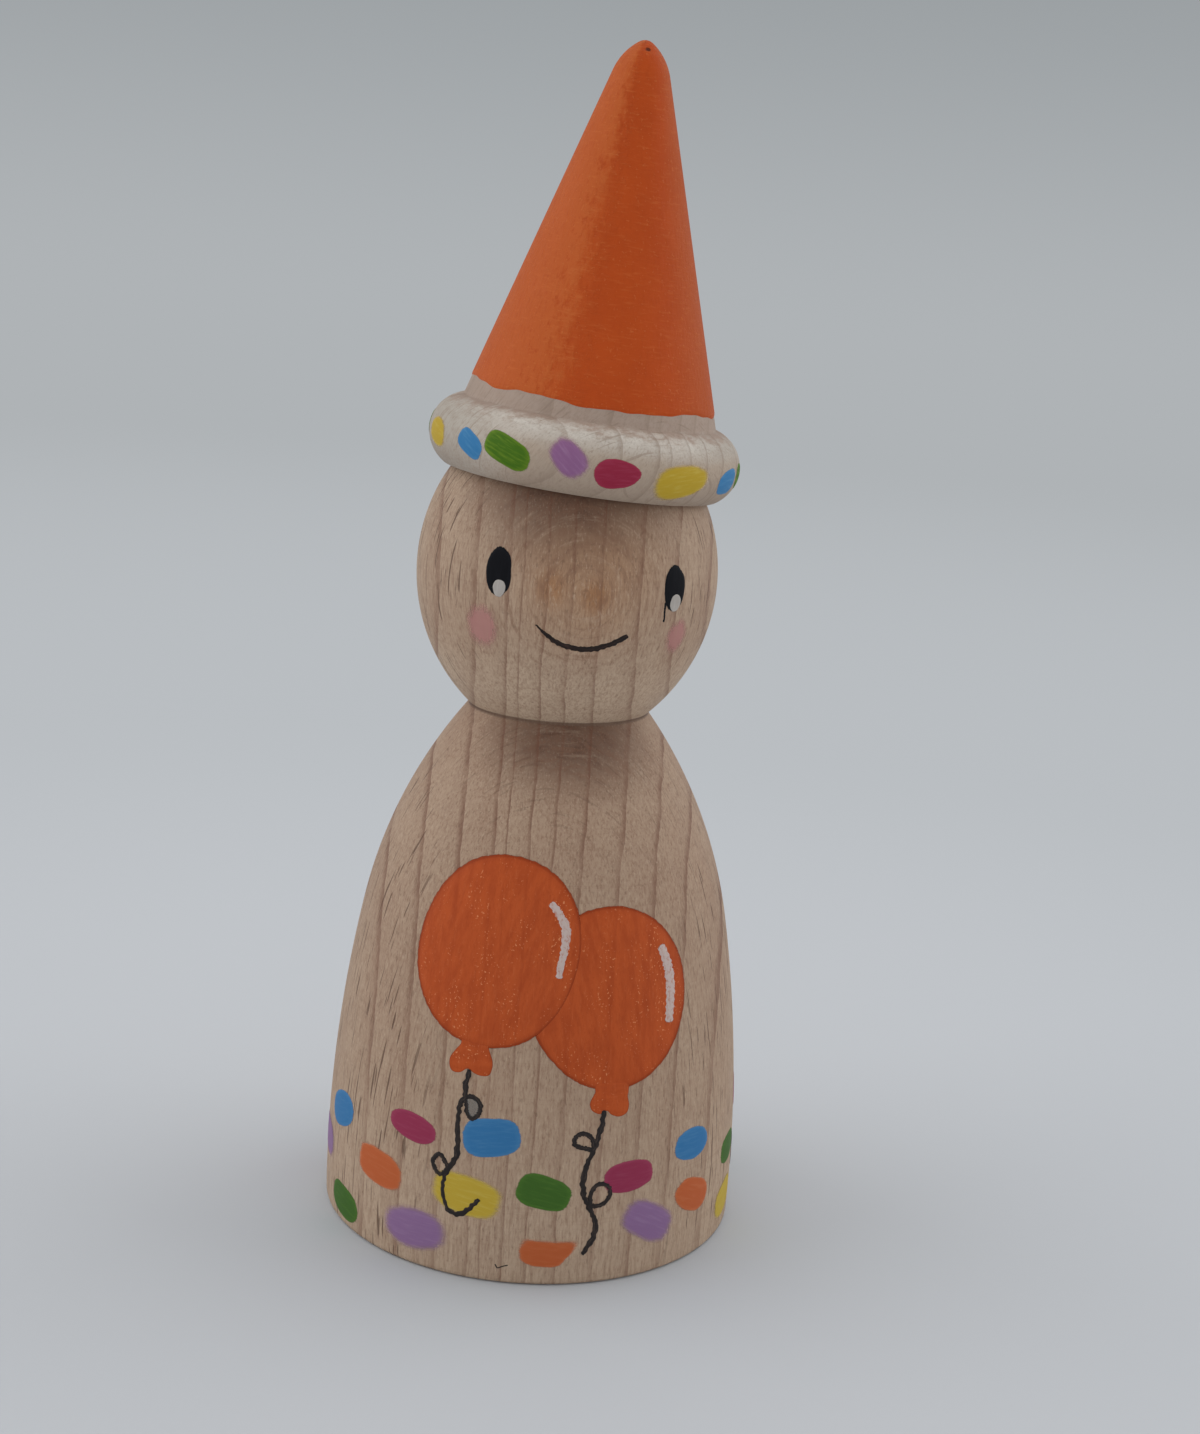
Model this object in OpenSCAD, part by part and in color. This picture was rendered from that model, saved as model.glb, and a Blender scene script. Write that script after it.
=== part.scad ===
// Turned peg doll with a painted face, two painted balloons, a band of
// painted confetti and a separate pointed hat with a rolled brim.
// The doll stands on the XY plane, on the Z axis, and faces -Y.

/* [Body] */
// Greatest diameter of the body
body_d = 40; // [34:0.5:46]
// Height at which the body is widest
belly_h = 4; // [2:0.5:8]
// Radius of the long curve of the belly, seen in profile
belly_arc_r = 136; // [110:1:180]
// Height at which the shoulder takes over from the belly
shoulder_h = 30; // [24:0.5:34]
// Radius of the shoulder, seen in profile
shoulder_arc_r = 46; // [42:0.5:56]
// Rounding of the edge round the base
base_edge_r = 0.4; // [0.2:0.1:1]

/* [Head] */
// Greatest diameter of the head
head_d = 28.2; // [25:0.1:31]
// Height of the widest part of the head above the base
head_h = 62.5; // [60:0.5:66]
// Radius of the cheeks, seen in profile
cheek_arc_r = 17.3; // [16:0.1:19]
// Rise of the crown's centre above the widest part of the head
crown_rise = 1.5; // [0.5:0.1:3]

/* [Hat] */
// Greatest diameter of the rolled brim
brim_d = 28.9; // [28:0.1:32]
// Height of the brim from its underside to the groove
brim_h = 6.3; // [5:0.1:8]
// Height of the brim's widest part above its underside
brim_mid_h = 2.9; // [2.5:0.1:3.3]
// Height of the brim's underside above the crown's centre
brim_seat_h = 7.3; // [6.8:0.1:9]
// Diameter of the groove between brim and cone
groove_d = 24.2; // [22:0.1:26]
// Height of the cone's straight flank
cone_h = 30; // [20:0.5:50]
// Diameter at which the cone's straight flank ends
tip_d = 5.9; // [4:0.1:8]
// Radius of the curve that draws the tip in, seen in profile
tip_arc_r = 5; // [4.8:0.1:9]
// Radius of the nose at the very tip
nose_r = 1; // [0.5:0.1:1.5]
// Lean of the hat on the head, in degrees
hat_lean = 5; // [0:0.5:8]
// Side to which the hat leans, in degrees from the face towards the doll's left
hat_lean_side = 68; // [-180:1:180]
// Gap between the crown and the hat's socket
seat_gap = 0.15; // [0.1:0.05:0.4]

/* [Face] */
// Height of an eye
eye_h = 4.2; // [3:0.1:5]
// Width of an eye
eye_w = 2.65; // [2:0.05:3.2]
// Height of the eyes' centres above the widest part of the head
eye_rise = 1; // [-1:0.1:2]
// Height of the white glint in an eye
glint_h = 1.6; // [0.8:0.1:1.8]
// Width of the white glint in an eye
glint_w = 1.3; // [0.6:0.1:1.6]
// Diameter of a rosy cheek
blush_d = 3.2; // [2:0.1:4.5]
// Drop of the rosy cheeks' centres below the widest part of the head
blush_drop = 3.8; // [3:0.1:5]
// Radius of the smile's curve
smile_r = 6; // [4:0.1:8]
// Drop of the smile's lowest point below the widest part of the head
smile_drop = 4.9; // [4:0.1:6]

/* [Balloons] */
// Height of a balloon without its knot
balloon_h = 16.8; // [12:0.1:18]
// Width of a balloon
balloon_w = 15.2; // [11:0.1:16]
// Height of the left balloon's centre above the base
balloon_left_z = 30.3; // [28:0.1:33]
// Height of the right balloon's centre above the base
balloon_right_z = 26.6; // [25:0.1:28]
// Width across the two lobes of a knot
knot_w = 4.2; // [3:0.1:5]
// Width of the white shine on a balloon
shine_w = 0.98; // [0.4:0.02:1.2]
// Drop from the top of a string to its lowest point
string_drop = 13.5; // [10:0.1:15]

/* [Confetti] */
// Height of the band of confetti round the body
band_h = 16; // [14:0.5:20]
// Length of a full-size dab
dab_l = 6; // [4:0.1:7]
// Width of a full-size dab
dab_w = 4; // [3:0.1:4.5]
// Length of a full-size dab on the brim
brim_dab_l = 5.4; // [3:0.1:6]
// Width of a full-size dab on the brim
brim_dab_w = 3.1; // [2:0.1:3.4]

/* [Paint] */
// Thickness of a dried film of paint
film_t = 0.12; // [0.08:0.01:0.3]
// Width of a line drawn with the pen
pen_w = 0.54; // [0.3:0.02:0.7]
// Height of the bare band between the groove and the cone's paint
bare_band_h = 1.3; // [0.5:0.1:3]

/* [Hidden] */

// Gap between a film and what lies under it or beside it
film_gap = 0.02;
// Facets of a round edge and of a round profile
round_fn = 180;
curve_fn = 360;
blob_fn = 72;
dab_fn = 40;

// Body: the belly's and the shoulder's arcs meet without a corner
body_r = body_d / 2;
belly_c = [body_r - belly_arc_r, belly_h];
shoulder_a = asin((shoulder_h - belly_h) / belly_arc_r);
shoulder_c = belly_c + (belly_arc_r - shoulder_arc_r) * [cos(shoulder_a), sin(shoulder_a)];
base_r = belly_c[0] + sqrt(pow(belly_arc_r, 2) - pow(belly_h - base_edge_r, 2));

// Head: the crown is part of a ball whose centre lies on the axis
cheek_c = [head_d / 2 - cheek_arc_r, head_h];
crown_z = head_h + crown_rise;
crown_a = atan2(crown_rise, -cheek_c[0]);
crown_r = cheek_arc_r - norm([cheek_c[0], crown_rise]);

// Hat, in its own frame: heights start at the brim's underside
brim_r = brim_d / 2;
groove_r = groove_d / 2;
brim_in = brim_r - groove_r;
brim_rise = brim_h - brim_mid_h;
roll_r = (pow(brim_in, 2) + pow(brim_rise, 2)) / (2 * brim_in);
roll_c = [brim_r - roll_r, brim_mid_h];
flank_a = atan2(groove_r - tip_d / 2, cone_h);
tip_c = [tip_d / 2 - tip_arc_r * cos(flank_a), brim_h + cone_h - tip_arc_r * sin(flank_a)];
nose_z = tip_c[1] + sqrt(pow(tip_arc_r - nose_r, 2) - pow(tip_c[0], 2));
nose_a = atan2(nose_z - tip_c[1], -tip_c[0]);

// Places on the face, in degrees from -Y towards the doll's left
eye_a = [-32.5, 36];
eye_drop_shares = [0, 0.19];
blush_a = [-39, 41];
blush_size_shares = [1, 0.84];
smile_a = 1;
smile_span_a = [-46, 43];
glint_drop_share = 0.33;

// Balloons: bearing of the centre, lean, then the knot's side step and
// drop as shares of the balloon's width and height
balloon_left_a = -21;
balloon_left_lean = -11;
knot_left_shares = [-0.072, 0.6];
balloon_right_a = 14.8;
balloon_right_lean = 10;
knot_right_shares = [-0.023, 0.558];
lobe_share = 0.25;

// Pen lines: each point is [side step, drop] as shares of string_drop
string_left_a = -25;
string_left_shares = [
    [0, 0], [0.004, 0.09], [-0.002, 0.17], [-0.042, 0.22], [-0.045, 0.29],
    [-0.03, 0.37], [-0.022, 0.47], [-0.03, 0.58], [-0.085, 0.70], [-0.12, 0.78],
    [-0.1, 0.89], [-0.055, 0.97], [0.008, 1], [0.085, 0.95], [0.15, 0.85],
];
string_right_a = 12.5;
string_right_shares = [
    [0, 0], [-0.01, 0.105], [-0.045, 0.21], [-0.072, 0.275], [-0.107, 0.35],
    [-0.13, 0.45], [-0.115, 0.57], [-0.066, 0.65], [-0.035, 0.735], [-0.008, 0.8],
    [-0.044, 0.895], [-0.1, 1],
];
// Curls: [side step, drop, radius] as shares of string_drop
curl_left_shares = [[0.052, 0.23, 0.054], [-0.154, 0.665, 0.048]];
curl_right_shares = [[-0.132, 0.2, 0.06], [0.005, 0.585, 0.07]];
// Shines: [side step, rise] as shares of the balloon's height
shine_left_a = -3;
shine_left_shares = [[-0.036, 0.289], [0.012, 0.224], [0.052, 0.135], [0.048, 0.02], [0.02, -0.115]];
shine_right_a = 33;
shine_right_shares = [[-0.036, 0.267], [0.004, 0.171], [0.026, 0.073], [0.018, -0.049], [0, -0.17]];

// Dabs: [bearing, height, length, width, lean, taper, roundness].
// Bearings and leans are in degrees, heights are shares of the band, lengths
// and widths of a full-size dab; a positive taper widens the right end, and
// a roundness of 1 is an oval, less is squarer.
oval_share = 0.94;
blue_shares = [
    [-72.2, 0.69, 0.95, 0.87, 16, 0, 0.83], [-17.2, 0.863, 0.93, 0.93, 9, -0.03, 0.71],
    [42.9, 0.724, 0.86, 0.82, -5, -0.05, 0.95], [122, 0.45, 0.93, 0.9, -12, 0.06, 0.77],
    [177, 0.69, 0.95, 0.9, 10, -0.05, 0.8], [239, 0.36, 0.9, 0.92, 22, 0, 0.83],
];
magenta_shares = [
    [-40.1, 0.824, 0.93, 0.68, -6, 0, 0.91], [20.7, 0.633, 0.88, 0.78, 2.5, -0.03, 0.8],
    [83, 0.79, 0.92, 0.8, 14, -0.08, 0.83], [139, 0.65, 0.95, 0.8, -18, -0.06, 0.8],
    [196, 0.41, 0.9, 0.82, -10, -0.08, 0.87], [258, 0.215, 0.95, 0.8, 12, 0.08, 0.8],
];
orange_shares = [
    [-50.7, 0.504, 1.01, 0.86, -6, -0.03, 0.69], [-0.8, 0.196, 0.84, 0.72, -7, 0.02, 0.59],
    [44, 0.403, 0.92, 0.83, -21, 0.04, 0.87], [100, 0.6, 0.93, 0.88, -20, -0.08, 0.8],
    [141, 0.24, 0.95, 0.82, 6, 0.06, 0.77], [198, 0.82, 0.9, 0.9, 25, -0.06, 0.87],
    [256, 0.61, 0.95, 0.88, -30, 0.04, 0.8],
];
green_shares = [
    [-66.8, 0.145, 0.97, 0.83, -5, -0.05, 0.8], [-2.5, 0.565, 0.87, 0.82, -15, -0.07, 0.67],
    [67.5, 0.52, 0.88, 0.76, 0, -0.05, 0.83], [104, 0.215, 0.9, 0.9, -14, 0, 0.77],
    [160, 0.455, 0.88, 0.85, 16, 0.08, 0.83], [236, 0.79, 0.9, 0.88, -16, -0.04, 0.8],
];
lilac_shares = [
    [-84.5, 0.415, 0.87, 0.86, -8, 0, 0.83], [-37.4, 0.225, 1.11, 0.98, 3, 0, 0.87],
    [27.5, 0.334, 1, 0.88, -30, 0.02, 0.74], [84.5, 0.37, 0.95, 0.92, -8, -0.04, 0.8],
    [158, 0.8, 0.95, 0.88, -22, 0, 0.83], [217, 0.585, 1, 0.92, 12, -0.05, 0.8],
];
yellow_shares = [
    [-22.9, 0.504, 1.09, 0.97, -9, 0, 0.74], [65.5, 0.206, 0.9, 0.9, 8, 0.06, 0.83],
    [119, 0.81, 0.93, 0.9, 10, 0, 0.8], [178, 0.225, 1, 0.9, -12, 0.05, 0.77],
    [219, 0.205, 0.95, 0.88, 18, 0, 0.83],
];
// The same for the brim, where heights are shares of the brim's height
brim_yellow_shares = [
    [-75.4, 0.46, 0.74, 0.81, -9, 0, 0.91], [30.9, 0.37, 1.1, 0.97, 11, -0.16, 0.83],
    [135, 0.41, 0.9, 0.9, -14, 0, 0.8],
];
brim_blue_shares = [
    [-52.1, 0.44, 0.61, 0.7, -27, 0.03, 0.69], [58.2, 0.375, 0.72, 0.78, 6, 0.15, 0.74],
    [156, 0.48, 0.7, 0.85, 34, -0.06, 0.83], [241, 0.47, 0.72, 0.8, -30, 0.04, 0.87],
];
brim_green_shares = [
    [-35.1, 0.454, 0.92, 0.85, -18, 0, 0.69], [75, 0.42, 0.72, 0.8, -6, 0, 0.83],
    [178, 0.4, 0.88, 0.95, 12, 0, 0.8], [259, 0.44, 0.85, 0.9, 24, -0.04, 0.8],
];
brim_lilac_shares = [
    [-12.7, 0.513, 0.68, 0.86, -40, 0.09, 0.8], [113, 0.47, 0.75, 0.95, 28, 0, 0.83],
    [221, 0.42, 0.78, 0.9, 16, 0.04, 0.8],
];
brim_magenta_shares = [
    [5, 0.39, 0.8, 0.88, 5, -0.2, 0.95], [94, 0.43, 0.8, 0.9, -18, 0, 0.8],
    [200, 0.46, 0.82, 0.92, -12, 0.05, 0.83],
];

wood = "#dcb995";
hat_wood = "#e3d8c6";
orange_paint = "#dc5f28";
blue_paint = "#3f8fca";
yellow_paint = "#e3c443";
green_paint = "#4b8b2b";
magenta_paint = "#b03a6b";
lilac_paint = "#ab7fbf";
black_paint = "#221f1e";
white_paint = "#e8e2da";
pink_paint = "#e29a92";

// Unit vector in profile, at an angle above the radial direction
function ray(a) = [cos(a), sin(a)];

// Disc of radius r about c, kept between the bearings a0 and a1
module disc_sector(c, r, a0, a1) {
    intersection() {
        translate(c) circle(r, $fn = curve_fn);
        translate(c) polygon([[0, 0], 2 * r * ray(a0), 3 * r * ray((a0 + a1) / 2), 2 * r * ray(a1)]);
    }
}

// Quarter plane on the positive side of the axis, above height z
module beyond_axis(z, reach) {
    translate([0, z]) square([reach, 2 * reach]);
}

// Right half of the turned peg's section, grown outwards by g
module peg_section(g = 0) {
    intersection() {
        union() {
            disc_sector(belly_c, belly_arc_r + g, -shoulder_a, shoulder_a);
            translate(shoulder_c) circle(shoulder_arc_r + g, $fn = curve_fn);
            disc_sector(cheek_c, cheek_arc_r + g, -80, crown_a);
            translate([0, crown_z]) circle(crown_r + g, $fn = curve_fn);
        }
        beyond_axis(0, head_h);
    }
}

// Keeps all of a section but the sharp corner at the foot
module foot_mask() {
    beyond_axis(base_edge_r, head_h);
    square([base_r - base_edge_r, 2 * base_edge_r]);
    translate([base_r - base_edge_r, base_edge_r]) circle(base_edge_r, $fn = blob_fn);
}

// Right half of the hat's section without its socket, grown outwards by g.
// The flank ends just inside the tip's arc, so that it crosses it cleanly.
module hat_section(g = 0) {
    flank_top = tip_c + (tip_arc_r + g - film_gap / 2) * ray(flank_a);
    foot_r = groove_r + g / cos(flank_a);
    split_z = tip_c[1] - tip_c[0] * tan(flank_a);
    intersection() {
        union() {
            translate(roll_c) circle(roll_r + g, $fn = curve_fn);
            polygon([[0, -g], [groove_r, -g], [foot_r, brim_h], flank_top, [0, split_z]]);
            disc_sector(tip_c, tip_arc_r + g, 0, nose_a);
            translate([0, nose_z]) circle(nose_r + g, $fn = blob_fn);
        }
        beyond_axis(-g, cone_h + brim_r);
    }
}

// Thin skin that follows the peg, as thick as a film of paint, with its
// seam at a bearing that no dab crosses
module peg_skin() {
    rotate(180) rotate_extrude($fn = round_fn) difference() {
        peg_section(film_gap + film_t);
        peg_section(film_gap);
    }
}

// Thin skin that follows the hat, with its seam at the same bearing
module hat_skin() {
    rotate(180) rotate_extrude($fn = round_fn) difference() {
        hat_section(film_gap + film_t);
        hat_section(film_gap);
    }
}

// Moves a shape from the hat's own frame to its seat on the crown
module on_head() {
    lean_axis = [cos(hat_lean_side), sin(hat_lean_side), 0];
    translate([0, 0, crown_z])
        rotate(a = hat_lean, v = lean_axis)
            translate([0, 0, brim_seat_h])
                children();
}

// Drives a flat outline outwards from the axis at bearing a and height z
module stamp(a, z, lean = 0) {
    rotate([0, 0, a])
        translate([0, 0, z])
            rotate([90, 0, 0])
                rotate(lean)
                    linear_extrude(height = body_d)
                        children();
}

// Brushed dab of length l and width w, grown outwards by g: each point lies
// on an oval drawn towards a rectangle, wider at the end that the taper names
module dab(l, w, taper = 0, roundness = oval_share, g = 0) {
    polygon([
        for (i = [0 : dab_fn - 1])
            let (
                t = 360 * (i + 0.5) / dab_fn,
                x = sign(cos(t)) * pow(abs(cos(t)), roundness),
                y = sign(sin(t)) * pow(abs(sin(t)), roundness)
            )
            [(l / 2 + g) * x, (w / 2 + g) * y * (1 + taper * x)]
    ]);
}

// Point at share t of the way from b to c, on a smooth curve through a, b, c and d
function curve_point(a, b, c, d, t) =
    b + 0.5 * t * (c - a + t * (2 * a - 5 * b + 4 * c - d + t * (3 * (b - c) + d - a)));

// Smooth line through the given points, with n steps between neighbours
function smooth_line(p, n = 4) = [
    for (i = [0 : len(p) - 2], k = [0 : n - 1])
        curve_point(p[max(i - 1, 0)], p[i], p[i + 1], p[min(i + 2, len(p) - 1)], k / n),
    p[len(p) - 1],
];

// Unit normal of a line at its point i
function line_normal(p, i) =
    let (d = p[min(i + 1, len(p) - 1)] - p[max(i - 1, 0)])
    [-d[1], d[0]] / norm(d);

// Line of width w along the points p, with round ends, stamped at bearing a
module pen_stamp(a, z, p, w) {
    last = len(p) - 1;
    edge = [for (i = [0 : last]) line_normal(p, i) * w / 2];
    stamp(a, z) polygon(concat(
        [for (i = [0 : last]) p[i] + edge[i]],
        [for (i = [last : -1 : 0]) p[i] - edge[i]]
    ));
    for (end = [p[0], p[last]]) stamp(a, z) translate(end) circle(w / 2, $fn = blob_fn);
}

// Hand-drawn balloon string with its curls, hanging down from height z
module string_stamp(a, z, line_shares, curl_shares, g) {
    w = pen_w + 2 * g;
    pen_stamp(a, z, smooth_line([for (s = line_shares) string_drop * [s[0], -s[1]]]), w);
    for (c = curl_shares)
        stamp(a, z) translate(string_drop * [c[0], -c[1]]) difference() {
            circle(string_drop * c[2] + w / 2, $fn = blob_fn);
            if (g == 0) circle(string_drop * c[2] - w / 2, $fn = blob_fn);
        }
}

// Balloon about height z, with a two-lobed knot below it
module balloon_stamp(a, z, lean, knot_shares, g) {
    lobe_r = lobe_share * knot_w;
    knot = [balloon_w * knot_shares[0], -balloon_h * knot_shares[1]];
    stamp(a, z, 90 + lean) dab(balloon_h, balloon_w, g = g);
    for (side = [-1, 1])
        stamp(a, z) translate(knot + [side * (knot_w / 2 - lobe_r), 0]) circle(lobe_r + g, $fn = blob_fn);
    stamp(a, z) translate(knot) polygon([
        [-knot_w / 4 - g, 0], [0, -lobe_r / 2 - g], [knot_w / 4 + g, 0],
        [lobe_r + g, balloon_h / 4], [-lobe_r - g, balloon_h / 4],
    ]);
}

// Height at which a string hangs from its balloon's knot
function string_top(balloon_z, knot_shares) =
    balloon_z - balloon_h * knot_shares[1] - lobe_share * knot_w / 2;

module string_left_stamp(g = 0) {
    top_z = string_top(balloon_left_z, knot_left_shares);
    string_stamp(string_left_a, top_z, string_left_shares, curl_left_shares, g);
}

module string_right_stamp(g = 0) {
    top_z = string_top(balloon_right_z, knot_right_shares);
    string_stamp(string_right_a, top_z, string_right_shares, curl_right_shares, g);
}

module balloon_left_stamp(g = 0) {
    balloon_stamp(balloon_left_a, balloon_left_z, balloon_left_lean, knot_left_shares, g);
}

module balloon_right_stamp() {
    balloon_stamp(balloon_right_a, balloon_right_z, balloon_right_lean, knot_right_shares, 0);
}

module shine_stamps(g = 0) {
    w = shine_w + 2 * g;
    pen_stamp(shine_left_a, balloon_left_z, smooth_line(balloon_h * shine_left_shares), w);
    pen_stamp(shine_right_a, balloon_right_z, smooth_line(balloon_h * shine_right_shares), w);
}

module eye_stamps() {
    for (i = [0, 1])
        stamp(eye_a[i], head_h + eye_rise - eye_h * eye_drop_shares[i], 90) dab(eye_h, eye_w);
}

module glint_stamps(g = 0) {
    for (i = [0, 1])
        stamp(eye_a[i], head_h + eye_rise - eye_h * (eye_drop_shares[i] + glint_drop_share), 90)
            dab(glint_h, glint_w, g = g);
}

// Dabs of one colour, on a band of height h
module dab_stamps(shares, h, l, w) {
    for (s = shares) stamp(s[0], h * s[1], s[4]) dab(l * s[2], w * s[3], s[5], s[6]);
}

// Film of paint on the peg, under the pen lines that cross it
module confetti(shares) {
    difference() {
        intersection() {
            peg_skin();
            dab_stamps(shares, band_h, dab_l, dab_w);
        }
        string_left_stamp(film_gap);
        string_right_stamp(film_gap);
    }
}

module brim_dabs(shares) {
    on_head() intersection() {
        hat_skin();
        dab_stamps(shares, brim_h, brim_dab_l, brim_dab_w);
    }
}

module peg() {
    color(wood) rotate_extrude($fn = round_fn) intersection() {
        peg_section();
        foot_mask();
    }
}

module eyes() {
    color(black_paint) difference() {
        intersection() {
            peg_skin();
            eye_stamps();
        }
        glint_stamps(film_gap);
    }
}

module eye_glints() {
    color(white_paint) intersection() {
        peg_skin();
        glint_stamps();
    }
}

module blush() {
    color(pink_paint) intersection() {
        peg_skin();
        for (i = [0, 1])
            stamp(blush_a[i], head_h - blush_drop) circle(blush_d * blush_size_shares[i] / 2, $fn = blob_fn);
    }
}

module smile() {
    steps = 16;
    sweep_a = smile_span_a[1] - smile_span_a[0];
    line = [for (i = [0 : steps]) smile_r * ray(smile_span_a[0] - 90 + sweep_a * i / steps)];
    color(black_paint) intersection() {
        peg_skin();
        pen_stamp(smile_a, head_h - smile_drop + smile_r, line, pen_w);
    }
}

module balloon_left() {
    color(orange_paint) difference() {
        intersection() {
            peg_skin();
            balloon_left_stamp();
        }
        shine_stamps(film_gap);
        string_left_stamp(film_gap);
    }
}

module balloon_right() {
    color(orange_paint) difference() {
        intersection() {
            peg_skin();
            balloon_right_stamp();
        }
        balloon_left_stamp(film_gap);
        shine_stamps(film_gap);
        string_right_stamp(film_gap);
    }
}

module balloon_shines() {
    color(white_paint) intersection() {
        peg_skin();
        shine_stamps();
    }
}

module string_left() {
    color(black_paint) intersection() {
        peg_skin();
        string_left_stamp();
    }
}

module string_right() {
    color(black_paint) intersection() {
        peg_skin();
        string_right_stamp();
    }
}

module confetti_blue() { color(blue_paint) confetti(blue_shares); }
module confetti_magenta() { color(magenta_paint) confetti(magenta_shares); }
module confetti_orange() { color(orange_paint) confetti(orange_shares); }
module confetti_green() { color(green_paint) confetti(green_shares); }
module confetti_lilac() { color(lilac_paint) confetti(lilac_shares); }
module confetti_yellow() { color(yellow_paint) confetti(yellow_shares); }

module hat() {
    color(hat_wood) on_head() rotate_extrude($fn = round_fn) difference() {
        hat_section();
        translate([0, -brim_seat_h]) circle(crown_r + seat_gap, $fn = curve_fn);
    }
}

module cone_paint() {
    color(orange_paint) on_head() rotate_extrude($fn = round_fn) intersection() {
        difference() {
            hat_section(film_gap + film_t);
            hat_section(film_gap);
        }
        beyond_axis(brim_h + bare_band_h, cone_h + brim_r);
    }
}

module brim_dabs_yellow() { color(yellow_paint) brim_dabs(brim_yellow_shares); }
module brim_dabs_blue() { color(blue_paint) brim_dabs(brim_blue_shares); }
module brim_dabs_green() { color(green_paint) brim_dabs(brim_green_shares); }
module brim_dabs_lilac() { color(lilac_paint) brim_dabs(brim_lilac_shares); }
module brim_dabs_magenta() { color(magenta_paint) brim_dabs(brim_magenta_shares); }

peg();
eyes();
eye_glints();
blush();
smile();
balloon_left();
balloon_right();
balloon_shines();
string_left();
string_right();
confetti_blue();
confetti_magenta();
confetti_orange();
confetti_green();
confetti_lilac();
confetti_yellow();
hat();
cone_paint();
brim_dabs_yellow();
brim_dabs_blue();
brim_dabs_green();
brim_dabs_lilac();
brim_dabs_magenta();
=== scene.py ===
"""Looks of a turned wooden peg doll in a pointed hat, with a painted face, two balloons and confetti.

Lengths inside the classes are millimetres in the doll's own frame: the base is centred
on the origin, Z is up and the face looks along -Y. A bearing is an angle in degrees
from -Y towards +X, so a point at bearing a and radius r is r * (sin a, -cos a).
"""

import logging
import math
from collections.abc import Iterable, Sequence
from dataclasses import dataclass, field, replace
from enum import Enum, IntEnum

import bpy
import numpy as np
from mathutils import Matrix, Vector


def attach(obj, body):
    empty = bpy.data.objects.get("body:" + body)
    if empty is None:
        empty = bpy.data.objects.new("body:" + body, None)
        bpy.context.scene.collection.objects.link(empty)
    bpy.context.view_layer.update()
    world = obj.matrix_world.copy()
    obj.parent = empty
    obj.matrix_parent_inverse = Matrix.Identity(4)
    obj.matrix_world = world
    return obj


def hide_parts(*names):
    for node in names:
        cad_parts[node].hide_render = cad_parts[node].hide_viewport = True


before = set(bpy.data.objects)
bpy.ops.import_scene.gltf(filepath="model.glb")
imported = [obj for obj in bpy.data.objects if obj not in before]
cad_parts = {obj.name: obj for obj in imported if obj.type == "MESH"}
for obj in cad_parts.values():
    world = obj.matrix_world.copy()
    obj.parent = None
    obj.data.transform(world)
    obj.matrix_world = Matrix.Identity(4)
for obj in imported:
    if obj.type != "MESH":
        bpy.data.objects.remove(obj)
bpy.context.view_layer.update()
log = logging.getLogger("peg_doll")

Array = np.ndarray
Colour = tuple[float, float, float, float]
Triple = tuple[float, float, float]
Span = tuple[float, float]
Path = tuple[tuple[float, float], ...]
Weights = tuple[tuple[str, float], ...]

# Metres in a millimetre.
MM = 0.001
# How far the rim of a film dips into what it lies on, in millimetres.
DIP = 0.01
# How much softer than the others the rims of these colours of paint are.
SOFTNESS = {"lilac": 0.26, "yellow": 0.16, "orange": 0.06}
# How far apart the seeds of two colours of dabs are.
SEED_STEP = 100
# A length too small to matter, in millimetres.
TINY = 1e-6
# How much wider a dab is drawn for each unit of softness, because a soft rim fades out.
SPREAD = 0.58
# About a full turn in radians, for the phases of random sines.
PHASE = 6.3
# How far apart in the noise two dabs, and two lines, lie whose seeds differ by 1.
DAB_SHIFT = 1.7
LINE_SHIFT = 1.3


class Body(Enum):
    """The two pieces of wood that move apart."""

    PEG = "peg"
    HAT = "hat"


class Seed(IntEnum):
    """The number from which the random draws of each piece count up."""

    EYES = 11
    TICK = 15
    GLINTS = 21
    CHEEKS = 31
    SMILE = 41
    RIGHT_BALLOON = 51
    RIGHT_KNOT = 52
    LEFT_BALLOON = 61
    LEFT_KNOT = 62
    LEFT_SHINE = 71
    RIGHT_SHINE = 72
    LEFT_STRING = 81
    SMEAR = 85
    RIGHT_STRING = 91
    SLIP = 94
    CONFETTI = 100
    BRIM = 1000


def linear(red: int, green: int, blue: int) -> Colour:
    """Turns an 8 bit display colour into the linear colour that a shader takes.

    Args:
        red: Red, 0 to 255.
        green: Green, 0 to 255.
        blue: Blue, 0 to 255.

    Returns:
        The linear colour with an alpha of 1.
    """
    shares = [c / 255 for c in (red, green, blue)]
    shares = [c / 12.92 if c <= 0.04045 else ((c + 0.055) / 1.055) ** 2.4 for c in shares]
    return (*shares, 1.0)


# Shader expressions.


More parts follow.
